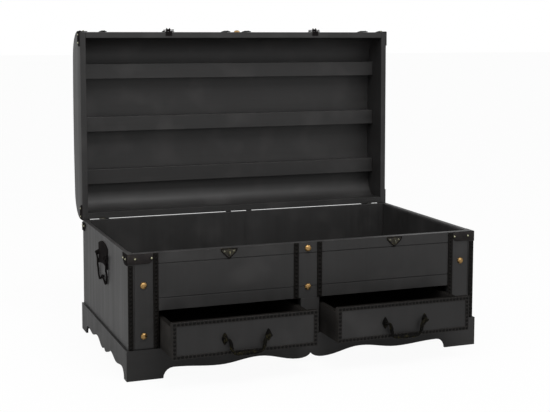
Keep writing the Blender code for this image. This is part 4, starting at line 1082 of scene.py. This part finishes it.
class CHEST_OT_hasps(bpy.types.Operator):
    """The hasps: a plate with ears, and a slotted tongue on a pin that ends in a small ball"""

    bl_idname = "chest.hasps"
    bl_label = "Hasps"

    def execute(self, context):
        for side, _ in SIDES:
            pin = OPENED.inverted() @ Vector(JOINTS[f"hasp_swing_{side}"]["pos_m"])
            self.fixed_plate(side, pin)
            self.tongue(side, pin)
        return {"FINISHED"}

    def fixed_plate(self, side, pin):
        """The plate on the lid's front, with a thin tab under the rim and two round ears for the pin."""
        wall = FRONT - SEAT
        sheet, half, foot, head, corner = 0.0022, 0.0150, LID_BASE + 0.0015, LID_BASE + 0.0215, 0.005
        outline = [(pin.x - half, foot), (pin.x + half, foot), (pin.x + half, head - corner),
                   (pin.x + half - corner, head), (pin.x - half + corner, head), (pin.x - half, head - corner)]
        shape = eased_plate(bmesh.new(), outline, lambda a, b, height: (a, wall - height, b), 0.0, sheet, 0.0004)
        tab, under, depth = 0.0090, LID_BASE - SEAT, 0.0100
        turn = [(wall - 0.0014, foot + 0.004), (wall - 0.0014, under - 0.0006), (wall - 0.0012, under - 0.0008),
                (FRONT + depth, under - 0.0008), (FRONT + depth, under), (wall, under), (wall, foot + 0.004)]
        loft(shape, [[(pin.x + a, y, z) for y, z in turn] for a in (-tab, tab)])
        ear = ((0.0046, -0.0010), (0.0054, -0.0006), (0.0054, 0.0006), (0.0046, 0.0010))
        nail = ((0.0022, 0.0), (0.0022, 0.0006), (0.0014, 0.0011), (0.0003, 0.0013))
        ear_aside, nail_aside, nail_levels = 0.0040, 0.0110, (0.0060, 0.0150)
        for sign in (-1, 1):
            turned(shape, ear, (pin.x + sign * ear_aside, pin.y, pin.z), ALONG)
            for level in nail_levels:
                turned(shape, nail, (pin.x + sign * nail_aside, wall - sheet + NAIL_SINK, foot + level), FORWARD, 12)
        finished(f"hasp_base_{side}", on_lid(shape), "matt_iron", "lid", (f"hasp_plate_{side}",), 40)

    def tongue(self, side, pin):
        """A slotted tongue with a narrow neck, on a knuckle whose pin ends in a small ball."""
        half, neck, sheet, length, slot = 0.0050, 0.0026, 0.0011, 0.036, 0.0019
        near, far = 0.0144, 0.0302
        centre, reach = (near + far) / 2, (far - near) / 2
        outer = [(-neck, 0.0), (neck, 0.0), (neck, 0.0062), (half, 0.0090),
                 *arc(0.0, length - half, half, 0.0, pi, 14), (-half, 0.0090), (-neck, 0.0062)]
        around = [(max(-slot, min(slot, a)), max(near, min(far, b))) for a, b in outer]
        for k, share in ((0, -0.4), (1, 0.4), (2, 0.7), (-1, -0.7)):
            around[k] = (share * slot, centre - reach)
        levels = ((outer, sheet), (outer, -sheet), (around, -sheet), (around, sheet))
        shape = loft(bmesh.new(), [[(pin.x + a, pin.y + off, pin.z + b) for a, b in line] for line, off in levels],
                     cyclic=True)
        knuckle = ((0.0010, -0.0027), (0.0028, -0.0024), (0.0028, 0.0024), (0.0010, 0.0027))
        balled = ((0.0012, -0.0062), (0.0012, 0.0120), (0.0017, 0.0128), (0.0020, 0.0140), (0.0017, 0.0152),
                  (0.0003, 0.0158))
        turned(shape, knuckle, pin, ALONG, 16)
        turned(shape, balled, pin, ALONG, 14)
        finished(f"hasp_tongue_{side}", on_lid(shape), "matt_iron", f"hasp_{side}", (f"hasp_{side}",), 40)


class CHEST_OT_studs(bpy.types.Operator):
    """Faceted brass studs on the posts, the middle and the lid's front rail"""

    bl_idname = "chest.studs"
    bl_label = "Brass studs"

    def execute(self, context):
        sizes = fittings()
        settings = {"Pitch": 1.0, "Diameter": sizes.stud_diameter, "Height": sizes.stud_height, "Sides": 8,
                    "Unevenness": 0.03, "Smooth": False}
        places = [(sign * STUD_COLUMN, z) for _, sign in SIDES for z in POST_STUDS]
        places += [(MIDDLE_SHIFT, z) for z in MIDDLE_STUDS]
        for name, body, seed, spots in (("studs", "chest", 17, places),
                                        ("lid_stud", "lid", 23, [(MIDDLE_SHIFT, LID_STUD)])):
            spots = turned_with(body, [((x, FRONT, z), FORWARD) for x, z in spots])
            dome_rows(name, [short_path(*spot) for spot in spots], body, "brass", Seed=seed, **settings)
        return {"FINISHED"}


class CHEST_OT_brackets(bpy.types.Operator):
    """The corner brackets, bent round the corners of body and lid, and their nails"""

    bl_idname = "chest.brackets"
    bl_label = "Corner brackets"

    def execute(self, context):
        for kind, body, rim, up, lengths in BRACKETS:
            for (end, wall, out), length in zip((("front", FRONT, -1), ("back", BACK, 1)), lengths):
                relief = HINGE_RELIEF if (kind, end) == ("body", "back") else SEAT
                for side, sign in SIDES:
                    shape = self.cap(rim, up, sign, wall, out, length, relief)
                    obj = finished(f"{kind}_corner_{end}_{side}", on_lid(shape) if body == "lid" else shape,
                                   "bracket_iron", body, (f"{kind}_bracket_{end}_{side}",), 50)
                    # The side leaves and upward faces take a darker, nearly unglossy copy of the bracket iron: painted
                    # shade.
                    obj.data.materials.append(finish("matt_iron"))
                    for face in obj.data.polygons:
                        if abs(face.normal.x) > 0.6 or abs(face.normal.x) < 0.3 and face.normal.z > 0.6:
                            face.material_index = 1
            self.nails(body, rim, up)
        return {"FINISHED"}

    def cap(self, rim, up, sign, wall, out, length, relief):
        """A bent sheet: (x, y) runs along the face, round the corner and along the side."""
        stations = []
        for d in [length * (1 - k / 40) for k in range(12)] + [length * 0.7 * (1 - k / 5) for k in range(1, 5)]:
            stations.append(((sign * (HALF_WIDTH - d), wall), (0.0, out),
                             self.leaf(length - d, FACE_LEAF_HEIGHT, FACE_LEAF_ROUND)))
        for k in range(7):
            t = pi / 2 * k / 6
            stations.append(((sign * HALF_WIDTH, wall), (sign * sin(t), out * cos(t)),
                             FACE_LEAF_HEIGHT + (BRACKET_HEIGHT - FACE_LEAF_HEIGHT) * k / 6))
        for k in range(1, 21):
            d = SIDE_LEAF * sin(pi / 2 * k / 20)
            stations.append(((sign * HALF_WIDTH, wall - out * d), (sign, 0.0),
                             self.leaf(SIDE_LEAF - d, BRACKET_HEIGHT, SIDE_LEAF_ROUND)))
        face = SEAT + BRACKET_SHEET
        rings = []
        for (x, y), (dx, dy), height in stations:
            section = ((SEAT, relief), (face - BRACKET_EASE, relief), (face, relief + BRACKET_EASE),
                       (face, height - BRACKET_EASE), (face - BRACKET_EASE, height), (SEAT, height))
            rings.append([(x + dx * off, y + dy * off, rim + up * level) for off, level in section])
        return loft(bmesh.new(), rings)

    def leaf(self, from_end, height, rounding):
        """Height of a leaf whose far corner is a quarter round."""
        inside = min(from_end, rounding)
        return height - rounding + sqrt(max(0.0, rounding**2 - (rounding - inside) ** 2)) + 1e-4

    def nails(self, body, rim, up):
        """Round nails, each on a low dark ring that is painted shade round its head."""
        sizes = fittings()
        settings = {"Pitch": 1.0, "Unevenness": 0.05, "Seed": 31}
        face = SEAT + BRACKET_SHEET
        z = rim + up * BRACKET_NAIL_LEVEL
        front_nails, back_nails = FACE_LEAF_NAILS[body]
        spots = []
        for _, sign in SIDES:
            spots += [((sign * (HALF_WIDTH + face), y, z), (sign, 0.0, 0.0))
                      for d in SIDE_LEAF_NAILS for y in (FRONT + d, BACK - d)]
            spots += [((sign * (HALF_WIDTH - d), FRONT - face, z), FORWARD) for d in front_nails]
            spots += [((sign * (HALF_WIDTH - d), BACK + face, z), (0.0, 1.0, 0.0)) for d in back_nails]
        spots = turned_with(body, spots)
        rings, heads = ([short_path(spot + out * lift, out) for spot, out in spots] for lift in (-0.0001, 0.0005))
        dome_rows(f"{body}_bracket_rings", rings, body, "ring_brass", Height=NAIL_SHADE_RING_HEIGHT,
                  Diameter=sizes.tack_diameter * NAIL_SHADE_RING_SHARE, **settings)
        dome_rows(f"{body}_bracket_nails", heads, body, "pale_brass", Diameter=sizes.tack_diameter,
                  Height=sizes.tack_height, **settings)


def cleared(owner):
    """The empty node tree of a material or a world."""
    owner.use_nodes = True
    owner.node_tree.nodes.clear()
    return owner.node_tree


class CHEST_OT_stage(bpy.types.Operator):
    """The pale floor, the soft light, the white backdrop and the camera"""

    bl_idname = "chest.stage"
    bl_label = "Stage"

    def execute(self, context):
        scene = context.scene
        look = scene.chest_stage
        scene.view_settings.view_transform = "Standard"
        self.floor(scene)
        self.world(scene, look)
        for name, at, size in LAMPS:
            lamp = bpy.data.lights.new(name, "AREA")
            lamp.size = size
            lamp.energy = getattr(look, name)
            obj = bpy.data.objects.new(name, lamp)
            obj.location = at
            obj.rotation_euler = (Vector(LAMP_TARGET) - Vector(at)).to_track_quat("-Z", "Y").to_euler()
            obj.visible_camera = False
            scene.collection.objects.link(obj)
        self.camera(scene, look)
        return {"FINISHED"}

    def floor(self, scene):
        """A matt floor that looks almost white to the camera and dim in what mirrors it."""
        shape = bmesh.new()
        bmesh.ops.create_grid(shape, x_segments=1, y_segments=1, size=FLOOR_HALF_SIZE)
        mesh = bpy.data.meshes.new("floor")
        shape.to_mesh(mesh)
        shape.free()
        floor = bpy.data.objects.new("floor", mesh)
        scene.collection.objects.link(floor)
        floor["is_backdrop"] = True
        made = bpy.data.materials.new("pale_floor")
        tree = cleared(made)
        ray = add_node(tree, "ShaderNodeLightPath").outputs
        mirror = maths(tree, "MAXIMUM", ray["Is Glossy Ray"], ray["Is Transmission Ray"])
        matt = first_of(tree, "ShaderNodeBsdfDiffuse", {"Color": (*FLOOR_COLOUR, 1.0)})
        white = first_of(tree, "ShaderNodeEmission", {"Color": (1.0, 1.0, 1.0, 1.0), "Strength": 1.0})
        share = maths(tree, "MAXIMUM", product(tree, ray["Is Camera Ray"], FLOOR_SEEN),
                      product(tree, mirror, FLOOR_MIRRORED))
        both = first_of(tree, "ShaderNodeMixShader", {0: share, 1: matt, 2: white})
        add_node(tree, "ShaderNodeOutputMaterial", {"Surface": both})
        mesh.materials.append(made)

    def world(self, scene, look):
        """White where it is seen or mirrored, and otherwise a soft light that grows towards the top."""
        world = bpy.data.worlds.new("studio")
        scene.world = world
        tree = cleared(world)
        way = add_node(tree, "ShaderNodeTexCoord").outputs["Generated"]
        height = add_node(tree, "ShaderNodeSeparateXYZ", {0: way}).outputs[2]
        level = spread(tree, height, 0.1, 0.9, look.room, look.ceiling)
        ray = add_node(tree, "ShaderNodeLightPath").outputs
        seen = maths(tree, "MAXIMUM", ray["Is Camera Ray"], ray["Is Glossy Ray"])
        seen = maths(tree, "MAXIMUM", seen, ray["Is Transmission Ray"])
        strength = first_of(tree, "ShaderNodeMix", {"Factor": seen, 2: level, 3: 1.0})
        sky = first_of(tree, "ShaderNodeBackground", {"Color": (1.0, 1.0, 1.0, 1.0), "Strength": strength})
        add_node(tree, "ShaderNodeOutputWorld", {"Surface": sky})

    def camera(self, scene, look):
        data = bpy.data.cameras.new("camera")
        data.sensor_width = SENSOR_WIDTH
        data.lens = look.lens
        data.shift_y = look.rise
        data.clip_end = 100.0
        yaw, pitch, roll = look.camera_yaw, look.camera_pitch, look.camera_roll
        ahead = Vector((sin(yaw) * cos(pitch), cos(yaw) * cos(pitch), sin(pitch)))
        level = Vector((cos(yaw), -sin(yaw), 0.0))
        up = level.cross(ahead)
        right = level * cos(roll) + up * sin(roll)
        above = up * cos(roll) - level * sin(roll)
        camera = bpy.data.objects.new("camera", data)
        turn = Matrix((right, above, -ahead)).transposed().to_4x4()
        camera.matrix_world = Matrix.Translation(Vector(look.camera_place)) @ turn
        scene.collection.objects.link(camera)
        scene.camera = camera


OPERATORS = (CHEST_OT_boards, CHEST_OT_sides, CHEST_OT_straps, CHEST_OT_lid_top, CHEST_OT_drawer_fronts,
             CHEST_OT_pulls, CHEST_OT_side_handles, CHEST_OT_catches, CHEST_OT_hasps, CHEST_OT_studs,
             CHEST_OT_brackets, CHEST_OT_stage)


class CHEST_PT_panel(bpy.types.Panel):
    """Sizes, colours and pieces of the chest"""

    bl_idname = "CHEST_PT_panel"
    bl_label = "Storage Chest"
    bl_space_type = "VIEW_3D"
    bl_region_type = "UI"
    bl_category = "Chest"

    def draw(self, context):
        for group in (context.scene.chest_finishes, context.scene.chest_fittings, context.scene.chest_stage):
            column = self.layout.column()
            for name in group.__annotations__:
                column.prop(group, name)
        for operator in OPERATORS:
            self.layout.operator(operator.bl_idname)


GROUPS = {"chest_finishes": ChestFinishes, "chest_fittings": ChestFittings, "chest_stage": ChestStage}
CLASSES = (*GROUPS.values(), *OPERATORS, CHEST_PT_panel)


def register():
    for cls in CLASSES:
        bpy.utils.register_class(cls)
    for name, group in GROUPS.items():
        setattr(bpy.types.Scene, name, bpy.props.PointerProperty(type=group))


def unregister():
    for name in GROUPS:
        delattr(bpy.types.Scene, name)
    for cls in reversed(CLASSES):
        bpy.utils.unregister_class(cls)


def corners():
    return [[round(value, 6) for value in corner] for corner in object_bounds()]


def main():
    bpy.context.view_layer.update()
    register()
    for operator in OPERATORS:
        group, name = operator.bl_idname.split(".")
        getattr(getattr(bpy.ops, group), name)()


if __name__ == "__main__":
    main()
